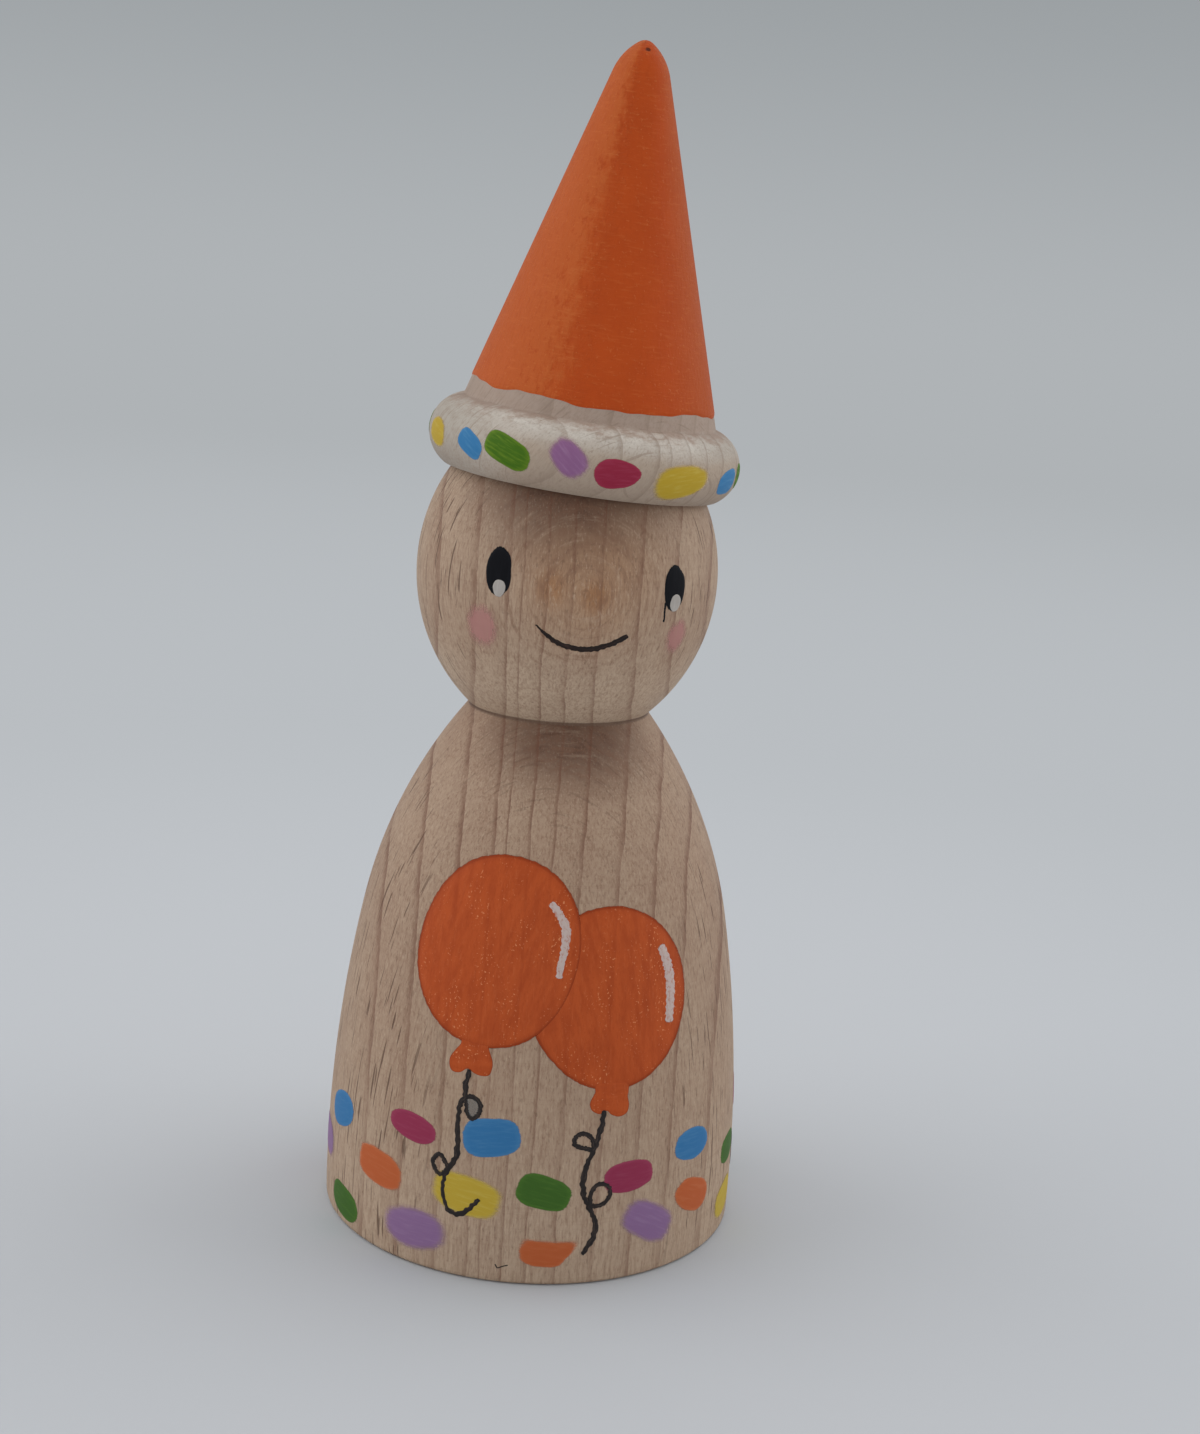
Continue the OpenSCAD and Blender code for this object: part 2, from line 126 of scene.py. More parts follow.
class Term:
    """An output socket, or what is worked out from several, in a shader expression."""

    def __init__(self, graph: "Graph", socket: bpy.types.NodeSocket) -> None:
        """Keeps the graph that the socket is in."""
        self.graph = graph
        self.socket = socket

    def _math(self, operation: str, *values: "Term | float") -> "Term":
        """One Math node on these values."""
        return self.graph.node("ShaderNodeMath", {"operation": operation}, dict(enumerate(values)))

    def __add__(self, other: "Term | float") -> "Term":
        """Sum."""
        return self._math("ADD", self, other)

    __radd__ = __add__

    def __mul__(self, other: "Term | float") -> "Term":
        """Product."""
        return self._math("MULTIPLY", self, other)

    __rmul__ = __mul__

    def __sub__(self, other: "Term | float") -> "Term":
        """Difference."""
        return self._math("SUBTRACT", self, other)

    def __rsub__(self, other: float) -> "Term":
        """Difference, reflected."""
        return self._math("SUBTRACT", other, self)

    def __truediv__(self, other: "Term | float") -> "Term":
        """Quotient."""
        return self._math("DIVIDE", self, other)

    def __pow__(self, other: float) -> "Term":
        """Power."""
        return self._math("POWER", self, other)

    def __abs__(self) -> "Term":
        """Size without the sign."""
        return self._math("ABSOLUTE", self)

    def fraction(self) -> "Term":
        """What is left past the whole number."""
        return self._math("FRACT", self)

    def larger(self, other: "Term | float") -> "Term":
        """The larger of the two."""
        return self._math("MAXIMUM", self, other)

    def smaller(self, other: "Term | float") -> "Term":
        """The smaller of the two."""
        return self._math("MINIMUM", self, other)

    def step(self, low: float, high: float) -> "Term":
        """Smooth rise from 0 at low to 1 at high, or a fall where low is above high.

        Args:
            low: Value at which the result is 0.
            high: Value at which the result is 1.

        Returns:
            The eased value.
        """
        if low > high:
            return 1 - self.step(high, low)
        return self.graph.node(
            "ShaderNodeMapRange",
            {"interpolation_type": "SMOOTHSTEP"},
            {"Value": self, "From Min": low, "From Max": high},
        )


@dataclass(frozen=True)
class Noise:
    """A soft noise about 0.5, or how far it has come through a span.

    Attributes:
        scale: Waves in a millimetre along each axis.
        detail: Number of finer layers.
        rough: Strength of each finer layer.
        span: Values between which the result rises from 0 to 1, or none for the noise itself.
    """

    scale: Triple
    detail: float = 2.0
    rough: float = 0.5
    span: Span | None = None


@dataclass(frozen=True)
class Layer:
    """A colour that is laid over what is under it.

    Attributes:
        mask: Name of the mask that says where.
        colour: The colour.
        share: How much of it shows where the mask is 1.
        span: Values of the mask between which the layer rises, or none for the mask itself.
    """

    mask: str
    colour: Colour
    share: float = 1.0
    span: Span | None = None


class Graph:
    """A material or a world and the nodes in it."""

    def __init__(self, owner: bpy.types.Material | bpy.types.World) -> None:
        """Empties the owner's nodes.

        Args:
            owner: Material or world that the nodes go in.
        """
        owner.use_nodes = True
        self.owner = owner
        self.tree = owner.node_tree
        self.tree.nodes.clear()

    def node(
        self,
        kind: str,
        settings: dict[str, object] | None = None,
        inputs: dict[str | int, object] | None = None,
        output: str | int = 0,
    ) -> Term:
        """Adds a node.

        Args:
            kind: Type name of the node.
            settings: Properties that are set first; "stops" fills a colour ramp.
            inputs: Socket names or numbers, with a value or a Term to link.
            output: Socket that the result reads.

        Returns:
            The wanted output.
        """
        made = self.tree.nodes.new(kind)
        for key, value in (settings or {}).items():
            if key == "stops":
                ramp = made.color_ramp
                while len(ramp.elements) < len(value):
                    ramp.elements.new(0.5)
                for element, (place, colour) in zip(ramp.elements, value):
                    element.position = place
                    element.color = colour
            else:
                setattr(made, key, value)
        for key, value in (inputs or {}).items():
            if isinstance(value, Term):
                self.tree.links.new(value.socket, made.inputs[key])
            else:
                made.inputs[key].default_value = value
        return Term(self, made.outputs[output])

    def millimetres(self) -> Term:
        """Object coordinates, in millimetres."""
        return self.scaled(self.node("ShaderNodeTexCoord", output="Object"), (1 / MM,) * 3)

    def own(self, name: str) -> Term:
        """A vector that the mesh carries for each of its points."""
        return self.node("ShaderNodeAttribute", {"attribute_name": name}, output="Vector")

    def vector(self, operation: str, *values: Term | Triple, output: str | int = 0) -> Term:
        """One Vector Math node on these vectors."""
        return self.node("ShaderNodeVectorMath", {"operation": operation}, dict(enumerate(values)), output)

    def scaled(self, vector: Term, by: Triple) -> Term:
        """A vector, stretched by a number along each axis."""
        return self.vector("MULTIPLY", vector, by)

    def moved(self, vector: Term, by: Term | Triple) -> Term:
        """The sum of two vectors."""
        return self.vector("ADD", vector, by)

    def past(self, vector: Term, middle: Triple) -> Term:
        """A vector, counted from a middle."""
        return self.moved(vector, tuple(-c for c in middle))

    def along(self, vector: Term, axis: Triple) -> Term:
        """How far a vector reaches along an axis."""
        return self.vector("DOT_PRODUCT", vector, axis, output="Value")

    def length(self, vector: Term) -> Term:
        """Length of a vector."""
        return self.vector("LENGTH", vector, output="Value")

    def turned(self, vector: Term, degrees: Triple) -> Term:
        """A vector, turned about the axes."""
        inputs = {"Vector": vector, "Rotation": tuple(math.radians(a) for a in degrees)}
        return self.node("ShaderNodeMapping", {"vector_type": "TEXTURE"}, inputs)

    def noise(self, place: Term, kind: Noise) -> Term:
        """Reads a noise.

        Args:
            place: Place at which it is read.
            kind: What the noise is like.

        Returns:
            The noise, or the share of its span that it has come through.
        """
        inputs = {
            "Vector": self.scaled(place, kind.scale),
            "Scale": 1.0,
            "Detail": kind.detail,
            "Roughness": kind.rough,
        }
        found = self.node("ShaderNodeTexNoise", {"noise_dimensions": "3D"}, inputs)
        return found.step(*kind.span) if kind.span else found

    def blend(self, share: Term | float, first: object, second: object) -> Term:
        """Mixes two colours.

        Args:
            share: Share of the second colour.
            first: A colour, or a Term that gives one.
            second: A colour, or a Term that gives one.

        Returns:
            The mixed colour.
        """
        made = self.tree.nodes.new("ShaderNodeMix")
        made.data_type = "RGBA"
        sockets = (made.inputs[0], made.inputs[6], made.inputs[7])
        for socket, value in zip(sockets, (share, first, second)):
            if isinstance(value, Term):
                self.tree.links.new(value.socket, socket)
            else:
                socket.default_value = value
        return Term(self, made.outputs[2])

    def laid(self, ground: object, masks: dict[str, Term], layers: Iterable[Layer]) -> Term:
        """Lays colours over a ground, one after the other.

        Args:
            ground: Colour or Term under them all.
            masks: The masks that the layers name.
            layers: What is laid, from the lowest to the highest.

        Returns:
            The colour that shows.
        """
        for layer in layers:
            mask = masks[layer.mask]
            if layer.span:
                mask = mask.step(*layer.span)
            ground = self.blend(mask * layer.share, ground, layer.colour)
        return ground

    def relief(self, masks: dict[str, Term], weights: Weights, depth: float, strength: float = 0.7) -> Term:
        """A normal bent by the weighed sum of some masks.

        Args:
            masks: The masks that the weights name.
            weights: How much each of them stands out, or lies low where that is below 0.
            depth: Depth of the relief in millimetres.
            strength: Strength of the effect.

        Returns:
            The bent normal.
        """
        height = sum(masks[name] * weight for name, weight in weights)
        return self.node(
            "ShaderNodeBump", None, {"Height": height, "Distance": depth * MM, "Strength": strength}
        )

    def mixed(self, share: Term, first: Term, second: Term) -> Term:
        """Mixes two shaders."""
        return self.node("ShaderNodeMixShader", None, {0: share, 1: first, 2: second})

    def finish(self, **inputs: object) -> bpy.types.Material:
        """Ends the material with a Principled shader.

        Args:
            **inputs: Values or Terms for the shader's sockets, with _ for a space.

        Returns:
            The material.
        """
        named = {key.replace("_", " "): value for key, value in inputs.items()}
        self.surface(self.node("ShaderNodeBsdfPrincipled", None, named))
        return self.owner

    def surface(self, shader: Term, output: str = "ShaderNodeOutputMaterial") -> None:
        """Links a shader to the surface."""
        made = self.tree.nodes.new(output)
        self.tree.links.new(shader.socket, made.inputs["Surface"])


# Finishes.


@dataclass(frozen=True)
class Grain:
    """Rings, rays and fibres of a piece of beech, read in millimetres.

    In the turned frame each year's ring ends on a plane square to the first axis. The
    rays are thin upright sheets square to the second axis: they show as fine dark
    dashes where the surface cuts across them, and as broad flecks where it runs
    along them.
    """

    turn: Triple = (0.0, 0.0, -8.2)
    rings: tuple[float, ...] = (
        -18.4, -14.9, -11.3, -7.6, -4.65, -3.5, -1.35, 0.85, 3.4, 6.9, 10.15, 13.2, 17.0,
    )
    reach: float = 22.0
    sway: Noise = Noise((0.16, 0.16, 0.08), 5.0, 0.65)
    swing: float = 1.1
    uneven: Noise = Noise((0.5, 0.5, 0.16), 3.0, 0.5, (0.3, 0.62))
    noises: tuple[tuple[str, Noise], ...] = (
        ("dash", Noise((0.32, 4.6, 0.2), 1.0, 0.5, (0.645, 0.69))),
        ("fleck", Noise((0.3, 1.25, 0.3), 3.0, 0.55, (0.5, 0.68))),
        ("fibre", Noise((4.2, 4.2, 0.36), 3.0, 0.7)),
        ("fine", Noise((6.0, 6.0, 1.6), 2.0, 0.7)),
        ("tooling", Noise((0.06, 0.06, 5.0))),
        ("pore", Noise((4.5, 4.5, 1.8), 1.0, 0.5, (0.62, 0.72))),
        ("patch", Noise((0.22, 0.22, 0.06), 3.0, 0.5, (0.36, 0.66))),
    )

    def ring_edge(self, graph: Graph, across: Term) -> Term:
        """Rises evenly from 0 just past one ring to 1 at the next, and drops there at once.

        Args:
            graph: Material that the nodes go in.
            across: Place along the first axis in millimetres.

        Returns:
            The share of the way to the next ring.
        """
        last = len(self.rings) - 1
        places = [(ring + self.reach) / (2 * self.reach) for ring in self.rings]
        stops = [(place, (k / last,) * 3 + (1.0,)) for k, place in enumerate(places)]
        share = (across + self.reach) / (2 * self.reach)
        return (graph.node("ShaderNodeValToRGB", {"stops": stops}, {0: share}) * last).fraction()

    def masks(self, graph: Graph, place: Term) -> dict[str, Term]:
        """Works out where rings, rays and fibres lie.

        Args:
            graph: Material that the nodes go in.
            place: Place in millimetres.

        Returns:
            The masks, each from 0 to 1.
        """
        at = graph.turned(place, self.turn)
        sway = (graph.noise(at, self.sway) - 0.5) * self.swing
        edge = self.ring_edge(graph, graph.along(at, (1.0, 0.0, 0.0)) + sway)
        found = {name: graph.noise(at, kind) for name, kind in self.noises}
        found["ring"] = edge.step(0.82, 0.98) * (graph.noise(at, self.uneven) * 0.6 + 0.4)
        found["late"] = edge.step(0.35, 1.0)
        return found


@dataclass(frozen=True)
class Spot:
    """A soft spot in the wood: its share in its middle, and 0 from its size outwards."""

    middle: Triple
    size: Triple
    share: float = 1.0

    def mask(self, graph: Graph, place: Term) -> Term:
        """The spot, worked out from how many of its sizes a place is off its middle."""
        offset = graph.scaled(graph.past(place, self.middle), tuple(1 / c for c in self.size))
        return graph.length(offset).step(1.0, 0.15) * self.share


@dataclass(frozen=True)
class Rays:
    """Rings about a point seen from the front, where the surface runs along the ray sheets.

    Attributes:
        middle: Middle of the rings.
        fade: Radii between which the rings rise from nothing to their full strength.
        step: Rings in a millimetre of radius.
        noise: Noise that is read in rings.
    """

    middle: Triple
    fade: Span
    step: float = 1.7
    noise: Noise = Noise((1.0, 1.0, 1.0), 4.0, 0.62)

    def mask(self, graph: Graph, place: Term) -> Term:
        """Reads the noise at the radius and at two slow measures of the place.

        Args:
            graph: Material that the nodes go in.
            place: Place in millimetres.

        Returns:
            The noise less 0.5, faded in between the two radii.
        """
        away = graph.length(graph.scaled(graph.past(place, self.middle), (1.0, 0.0, 1.0)))
        slow = [graph.along(place, axis) for axis in ((0.2, 0.0, 0.1), (0.1, 0.0, -0.22))]
        spot = graph.node("ShaderNodeCombineXYZ", None, {0: away * self.step, 1: slow[0], 2: slow[1]})
        return (graph.noise(spot, self.noise) - 0.5) * away.step(*self.fade)


@dataclass(frozen=True)
class BareBeech:
    """Sanded, unpainted beech, with its rings, ray flecks and fine upright fibres.

    Attributes:
        crease: Height at which the head meets the body.
        lip: How far from the crease the wood is wholly head or body.
        spots: Browner and darker spots in the wood, with painted shadow in the brow and neck spots.
        head_rays: Ray flecks in rings on the face.
        body_rays: Ray flecks in rings on the chest.
        layers: Colours over the pale ground.
        bumps: What stands out from the surface.
    """

    pale: Colour = linear(172, 148, 126)
    warm: Colour = linear(159, 131, 110)
    light: Colour = linear(194, 172, 149)
    line: Colour = linear(124, 91, 72)
    ring: Colour = linear(108, 69, 53)
    dark: Colour = linear(80, 55, 42)
    tan: Colour = linear(158, 112, 74)
    # Colour of the brow and neck spots: stained wood darkened further by painted shadow under the brim and
    # under the chin.
    stain: Colour = linear(78, 50, 39)
    grain: Grain = Grain()
    crease: float = 49.7
    lip: float = 0.2
    spots: tuple[tuple[str, Spot], ...] = (
        ("face", Spot((0.3, -14.0, 64.5), (9.5, 9.0, 10.0), 0.5)),
        ("left_knot", Spot((-3.1, -14.0, 62.8), (2.0, 6.0, 2.4), 0.4)),
        ("right_knot", Spot((0.9, -14.0, 62.3), (1.9, 6.0, 2.2), 0.4)),
        # The brow and neck spots are stained wood with painted shadow, under the brim and under the chin.
        ("brow", Spot((-1.6, -12.0, 73.0), (14.0, 12.0, 10.5), 1.15)),
        ("neck", Spot((0.4, -9.5, 49.0), (12.5, 9.5, 7.6))),
    )
    head_rays: Rays = Rays((0.0, 0.0, 62.6), (10.5, 6.5))
    body_rays: Rays = Rays((0.2, 0.0, 40.0), (13.0, 10.5))
    layers: tuple[Layer, ...] = (
        Layer("warm", warm),
        Layer("knot", tan),
        # Painted bounce light: the chin and the foot of the body are drawn paler.
        Layer("bleached", light),
        # Stained wood and painted shadow, under the brim and under the chin.
        Layer("stain", stain),
        Layer("rays", line, 0.4, (0.02, 0.16)),
        Layer("rays", light, 0.24, (-0.03, -0.18)),
        Layer("fleck", line, 0.1),
        Layer("late", line, 0.14),
        Layer("fibre", line, 0.42, (0.42, 0.7)),
        Layer("fine", line, 0.38, (0.5, 0.74)),
        Layer("glint", light),
        Layer("tooling", line, 0.12, (0.5, 0.75)),
        Layer("ring_line", ring),
        Layer("dash", dark, 0.72),
        Layer("pore", dark, 0.24),
        # Painted shadow: a thin dark line in the crease where the head meets the body.
        Layer("crease", dark, 0.75, (0.26, 0.04)),
    )
    bumps: Weights = (("fibre", 0.5), ("fine", 0.5), ("dash", -0.8), ("ring", -0.4), ("tooling", 0.2))

    def masks(self, graph: Graph, place: Term) -> dict[str, Term]:
        """Works out where each colour shows.

        The head is stained and takes painted shadow under the brim, and the body likewise under the chin;
        painted bounce light pales the chin and the foot, and the dashes keep to the sides and shoulders.

        Args:
            graph: Material that the nodes go in.
            place: Place in millimetres.

        Returns:
            The masks of the grain and of the doll's own parts.
        """
        wood = self.grain.masks(graph, place)
        height = graph.along(place, (0.0, 0.0, 1.0))
        front = graph.along(place, (0.0, -1.0, 0.0)).step(5.0, 10.0)
        head = height.step(self.crease, self.crease + self.lip)
        body = height.step(self.crease, self.crease - self.lip)
        spot = {name: kind.mask(graph, place) for name, kind in self.spots}
        # Stained wood with painted shadow: under the brim, and on the body under the chin.
        stain = (spot["brow"] + spot["neck"] * body) * (wood["fleck"] * 0.16 + 0.76)
        chest = self.body_rays.mask(graph, place) * body * height.step(43.0, 46.0)
        side = (abs(graph.along(place, (1.0, 0.0, 0.0))) + head * 2.5).step(9.5, 14.0)
        return wood | {
            "warm": wood["patch"] * 0.35 + body * height.step(14.0, 30.0) * 0.26,
            "knot": spot["face"] + spot["left_knot"] + spot["right_knot"],
            # Painted bounce light, on the chin above the crease and on the foot of the body.
            "bleached": height.step(58.0, 53.0) * head * 0.55 + height.step(18.0, 3.0) * 0.4,
            "stain": stain,
            "rays": (self.head_rays.mask(graph, place) * head + chest) * front,
            "glint": wood["fine"].step(0.46, 0.26) * (0.4 - stain.smaller(1.0) * 0.3),
            "ring_line": wood["ring"] * (height.step(14.0, 32.0) * body * 0.22 + 0.38 + head * 0.1),
            "dash": wood["dash"] * side.larger(height.step(37.0, 43.0) * body * 0.3),
            # Painted shadow line along the crease.
            "crease": abs(height - self.crease),
        }

    def make(self) -> bpy.types.Material:
        """Builds the material.

        Returns:
            The material.
        """
        graph = Graph(bpy.data.materials.new("bare_beech"))
        masks = self.masks(graph, graph.millimetres())
        return graph.finish(
            Base_Color=graph.laid(self.pale, masks, self.layers),
            Roughness=0.6 - masks["fleck"] * 0.08 + masks["fibre"] * 0.12,
            Specular_IOR_Level=0.2,
            Normal=graph.relief(masks, self.bumps, 0.05),
        )


@dataclass(frozen=True)
class WashedBeech:
    """Beech under a thin white wash, greyer than bare wood, with slanting grain.

    The wash is thinner in streaks, darker and browner on the lower half of the brim, shaded
    round its sides and nearly gone in the groove above it.
    """

    wash: Colour = linear(199, 192, 182)
    thin: Colour = linear(172, 156, 142)
    bare: Colour = linear(160, 139, 125)
    shaded: Colour = linear(152, 142, 130)
    line: Colour = linear(134, 115, 100)
    # Colour of the darker, browner lower half of the brim.
    worn: Colour = linear(168, 149, 131)
    grain: Grain = Grain(turn=(24.0, 14.0, 35.0))
    streak: Noise = Noise((0.7, 0.7, 1.6), 3.0, 0.6, (0.35, 0.7))
    waver: float = 0.6
    layers: tuple[Layer, ...] = (
        Layer("streak", thin, 0.55),
        Layer("left", shaded, 0.7, (9.0, 14.5)),
        Layer("right", shaded, 0.5, (8.5, 13.0)),
        Layer("height", bare, 0.9, (5.3, 6.3)),
        Layer("lower", worn, 0.88),
        Layer("height", line, 0.3, (3.6, 0.6)),
        Layer("ring", line, 0.44),
        Layer("late", line, 0.12),
        Layer("dash", line, 0.45),
        Layer("fine", line, 0.3, (0.48, 0.7)),
        Layer("fibre", line, 0.25, (0.45, 0.7)),
        Layer("pore", line, 0.2),
    )
    bumps: Weights = (("fibre", 0.6), ("pore", -0.5), ("streak", 0.3))

    def make(self) -> bpy.types.Material:
        """Builds the material, whose height is the hat's own with a wavering edge.

        Returns:
            The material.
        """
        graph = Graph(bpy.data.materials.new("washed_beech"))
        place = graph.own("own_place")
        streak = graph.noise(place, self.streak)
        height = graph.along(place, (0.0, 0.0, 1.0)) + (streak - 0.5) * self.waver
        masks = self.grain.masks(graph, place) | {
            "streak": streak,
            "height": height,
            "left": graph.along(place, (-1.0, -0.15, 0.0)),
            "right": graph.along(place, (1.0, -0.15, 0.0)),
            "lower": height.step(5.2, 3.3) * graph.along(place, (1.0, 0.0, 0.0)).step(-12.5, -6.0),
        }
        return graph.finish(
            Base_Color=graph.laid(self.wash, masks, self.layers),
            Roughness=0.6 + masks["fibre"] * 0.1,
            Specular_IOR_Level=0.2,
            Normal=graph.relief(masks, self.bumps, 0.03),
        )


@dataclass(frozen=True)
class HatPaint:
    """Satin orange paint on the cone, with the wood's fibres telegraphing through.

    The paint is paler on the left, where a sheen is painted in, and browner on the right.
    Between them on the left runs a crest, where the paint is crinkled. The middle of the
    turning left a small hole near the tip, drawn dark as painted shade inside it.
    """

    paint: Colour = linear(179, 73, 25)
    deep: Colour = linear(163, 62, 21)
    # Colour of the painted sheen on the left flank, also of the crinkles' folds.
    pale: Colour = linear(183, 92, 42)
    turned: Colour = linear(168, 78, 27)
    thin: Colour = linear(214, 128, 70)
    # Painted shade: the dark inside of the small hole near the tip.
    pit: Colour = linear(92, 38, 22)
    hole: Triple = (0.06, -1.36, 38.29)
    hole_r: float = 0.3
    noises: tuple[tuple[str, Noise], ...] = (
        ("patch", Noise((0.2, 0.2, 0.2), 4.0, 0.6, (0.35, 0.68))),
        ("fibre", Noise((3.2, 3.2, 0.3), 4.0, 0.65)),
        ("brush", Noise((0.8, 0.8, 5.0), 3.0, 0.6)),
        ("speck", Noise((3.6, 3.6, 3.6), 1.0, 0.5, (0.67, 0.72))),
        ("crinkle", Noise((1.5, 1.5, 0.8), 5.0, 0.7)),
    )
    layers: tuple[Layer, ...] = (
        Layer("patch", deep, 0.4),
        # Painted sheen: the paler band down the left flank.
        Layer("left", pale, 0.68, (0.64, 0.96)),
        Layer("right", turned, 0.6, (0.6, 0.98)),
        Layer("ridge", thin, 0.09),
        Layer("dent", deep, 0.45),
        Layer("fold", pale, 0.3),
        Layer("fibre", deep, 0.3, (0.5, 0.72)),
        Layer("brush", thin, 0.16, (0.52, 0.76)),
        Layer("speck", thin, 0.2),
        # Painted shade inside the hole.
        Layer("hole", pit),
    )
    bumps: Weights = (("fibre", 0.8), ("brush", 0.7), ("speck", 0.3), ("crumple", 1.0), ("hole", -2.0))

    def masks(self, graph: Graph, place: Term) -> dict[str, Term]:
        """Works out where each colour shows, from the side that a place faces and from noise.

        Args:
            graph: Material that the nodes go in.
            place: Place in the hat's own frame in millimetres.

        Returns:
            The masks.
        """
        found = {name: graph.noise(place, kind) for name, kind in self.noises}
        crinkle = found["crinkle"]
        facing = graph.vector("NORMALIZE", graph.scaled(place, (1.0, 1.0, 0.0)))
        # How far a place faces left, where the sheen is painted in.
        left = graph.along(facing, (-0.9, -0.44, 0.0))
        left = left + (found["brush"] - 0.5) * 0.18 + (crinkle - 0.5) * 0.3
        crest = left.step(0.55, 0.76) * left.step(1.04, 0.86)
        return found | {
            "left": left,
            "right": graph.along(facing, (0.98, -0.2, 0.0)),
            "ridge": left.step(0.72, 0.84) * left.step(0.97, 0.86) * crinkle.step(0.3, 0.6),
            "dent": crinkle.step(0.46, 0.32) * crest,
            "fold": crinkle.step(0.56, 0.7) * crest,
            "crumple": crinkle * (crest * 1.6 + 0.3),
            "hole": graph.length(graph.past(place, self.hole)).step(self.hole_r, self.hole_r * 0.45),
        }

    def make(self) -> bpy.types.Material:
        """Builds the material.

        Returns:
            The material.
        """
        graph = Graph(bpy.data.materials.new("hat_paint"))
        masks = self.masks(graph, graph.own("own_place"))
        return graph.finish(
            Base_Color=graph.laid(self.paint, masks, self.layers),
            Roughness=0.46 + masks["patch"] * 0.06 + masks["fibre"] * 0.1,
            Specular_IOR_Level=0.09,
            Normal=graph.relief(masks, self.bumps, 0.08, 0.85),
        )


@dataclass(frozen=True)
class DabPaint:
    """Brushed paint of a dab: streaks run along it and its rim breaks up.

    The mesh carries "stroke": x and y in the dab's own frame in millimetres and a
    seed, and "rim": how near a point is to the rim, from 0 in the middle to 1, and
    how much softer than usual the rim is there. The film shades the wood under it
    where it thins out, so the paint takes that much of the wood's colour on.

    Attributes:
        name: Name of the material.
        paint: Colour of the thick paint.
        thin: Colour of the streaks and of the paint near the rim.
        cover: How much of the wood the paint hides.
        fray: Width of the rim's fading, as a share of the way to the rim.
        streaks: Strength of the streaks.
        rough: Roughness where there is no streak.
        ragged: How far bristles and blots push the rim about.
        gleam: How much of the wood's colour is added where the film thins out.
        wood: Colour of the wood under the paint.
    """

    name: str
    paint: Colour
    thin: Colour
    cover: float = 0.98
    fray: float = 0.06
    streaks: float = 0.35
    rough: float = 0.5
    ragged: float = 1.0
    gleam: float = 0.0
    wood: Colour = linear(166, 142, 120)
    streak: Noise = Noise((0.45, 3.2, 7.0), 3.0, 0.6)
    bristle: Noise = Noise((0.9, 6.0, 7.0))
    blot: Noise = Noise((1.6, 1.6, 7.0))
    bumps: Weights = (("streak", 0.8), ("blot", 0.4))

    def make(self) -> bpy.types.Material:
        """Builds the material.

        Returns:
            The material.
        """
        graph = Graph(bpy.data.materials.new(self.name))
        stroke = graph.own("stroke")
        edge = graph.own("rim")
        rim = graph.along(edge, (1.0, 0.0, 0.0))
        blur = graph.along(edge, (0.0, 1.0, 0.0))
        kinds = {"streak": self.streak, "bristle": self.bristle, "blot": self.blot}
        masks = {name: graph.noise(stroke, kind) for name, kind in kinds.items()} | {"rim": rim}
        push = (masks["bristle"] - 0.5) * 2 + (masks["blot"] - 0.5)
        pushed = rim + push * (blur * 0.2 + self.fray) * self.ragged
        alpha = ((0.985 - pushed) / (blur + self.fray)).step(0.0, 1.0) * self.cover
        thinned = (
            Layer("streak", self.thin, self.streaks, (0.45, 0.75)),
            Layer("rim", self.thin, 0.22, (0.72, 0.93)),
        )
        colour = graph.laid(self.paint, masks, thinned)
        if self.gleam:
            shone = graph.blend((self.cover - alpha) * self.gleam, linear(0, 0, 0), self.wood)
            colour = graph.moved(colour, shone)
        return graph.finish(
            Base_Color=colour,
            Roughness=self.rough + masks["streak"] * 0.12,
            Specular_IOR_Level=0.1,
            Alpha=alpha,
            Normal=graph.relief(masks, self.bumps, 0.03),
        )


@dataclass(frozen=True)
class BalloonPaint:
    """Orange paint of a balloon, thin enough to show the wood's rings and fibres.

    It reads "stroke" and "rim" as a dab's paint does. Bright specks lie in crowds, and
    a thin dark line runs along the rim.
    """

    paint: Colour = linear(179, 80, 37)
    thin: Colour = linear(192, 101, 57)
    deep: Colour = linear(152, 60, 26)
    bright: Colour = linear(222, 150, 102)
    edge: Colour = linear(118, 42, 18)
    grain: Grain = Grain()
    noises: tuple[tuple[str, Noise], ...] = (
        ("brush", Noise((0.35, 1.1, 3.0), 3.0, 0.6)),
        ("speck", Noise((4.6, 4.6, 3.0), 1.0, 0.5, (0.64, 0.7))),
        ("crowd", Noise((0.22, 0.5, 3.0), 1.0, 0.5, (0.42, 0.62))),
        ("wander", Noise((1.7, 1.7, 1.7), 3.0)),
    )
    layers: tuple[Layer, ...] = (
        Layer("brush", deep, 0.5, (0.35, 0.7)),
        Layer("fibre", thin, 0.4, (0.5, 0.8)),
        Layer("ring", deep, 0.35),
        Layer("fine", deep, 0.35, (0.5, 0.72)),
        Layer("crowded", bright, 0.6),
        Layer("rim", deep, 0.4, (0.9, 0.98)),
        Layer("rim", edge, 0.48, (0.955, 0.98)),
    )
    bumps: Weights = (("fibre", 0.5), ("brush", 0.3))

    def make(self) -> bpy.types.Material:
        """Builds the material.

        Returns:
            The material.
        """
        graph = Graph(bpy.data.materials.new("balloon_paint"))
        stroke = graph.own("stroke")
        masks = self.grain.masks(graph, graph.millimetres())
        masks |= {name: graph.noise(stroke, kind) for name, kind in self.noises}
        masks["crowded"] = masks["speck"] * masks["crowd"]
        masks["rim"] = graph.along(graph.own("rim"), (1.0, 0.0, 0.0))
        rim = masks["rim"] + (masks["wander"] - 0.5) * 0.03
        return graph.finish(
            Base_Color=graph.laid(self.paint, masks, self.layers),
            Roughness=0.48 + masks["brush"] * 0.12,
            Specular_IOR_Level=0.1,
            Alpha=rim.step(1.0, 0.985),
            Normal=graph.relief(masks, self.bumps, 0.03),
        )


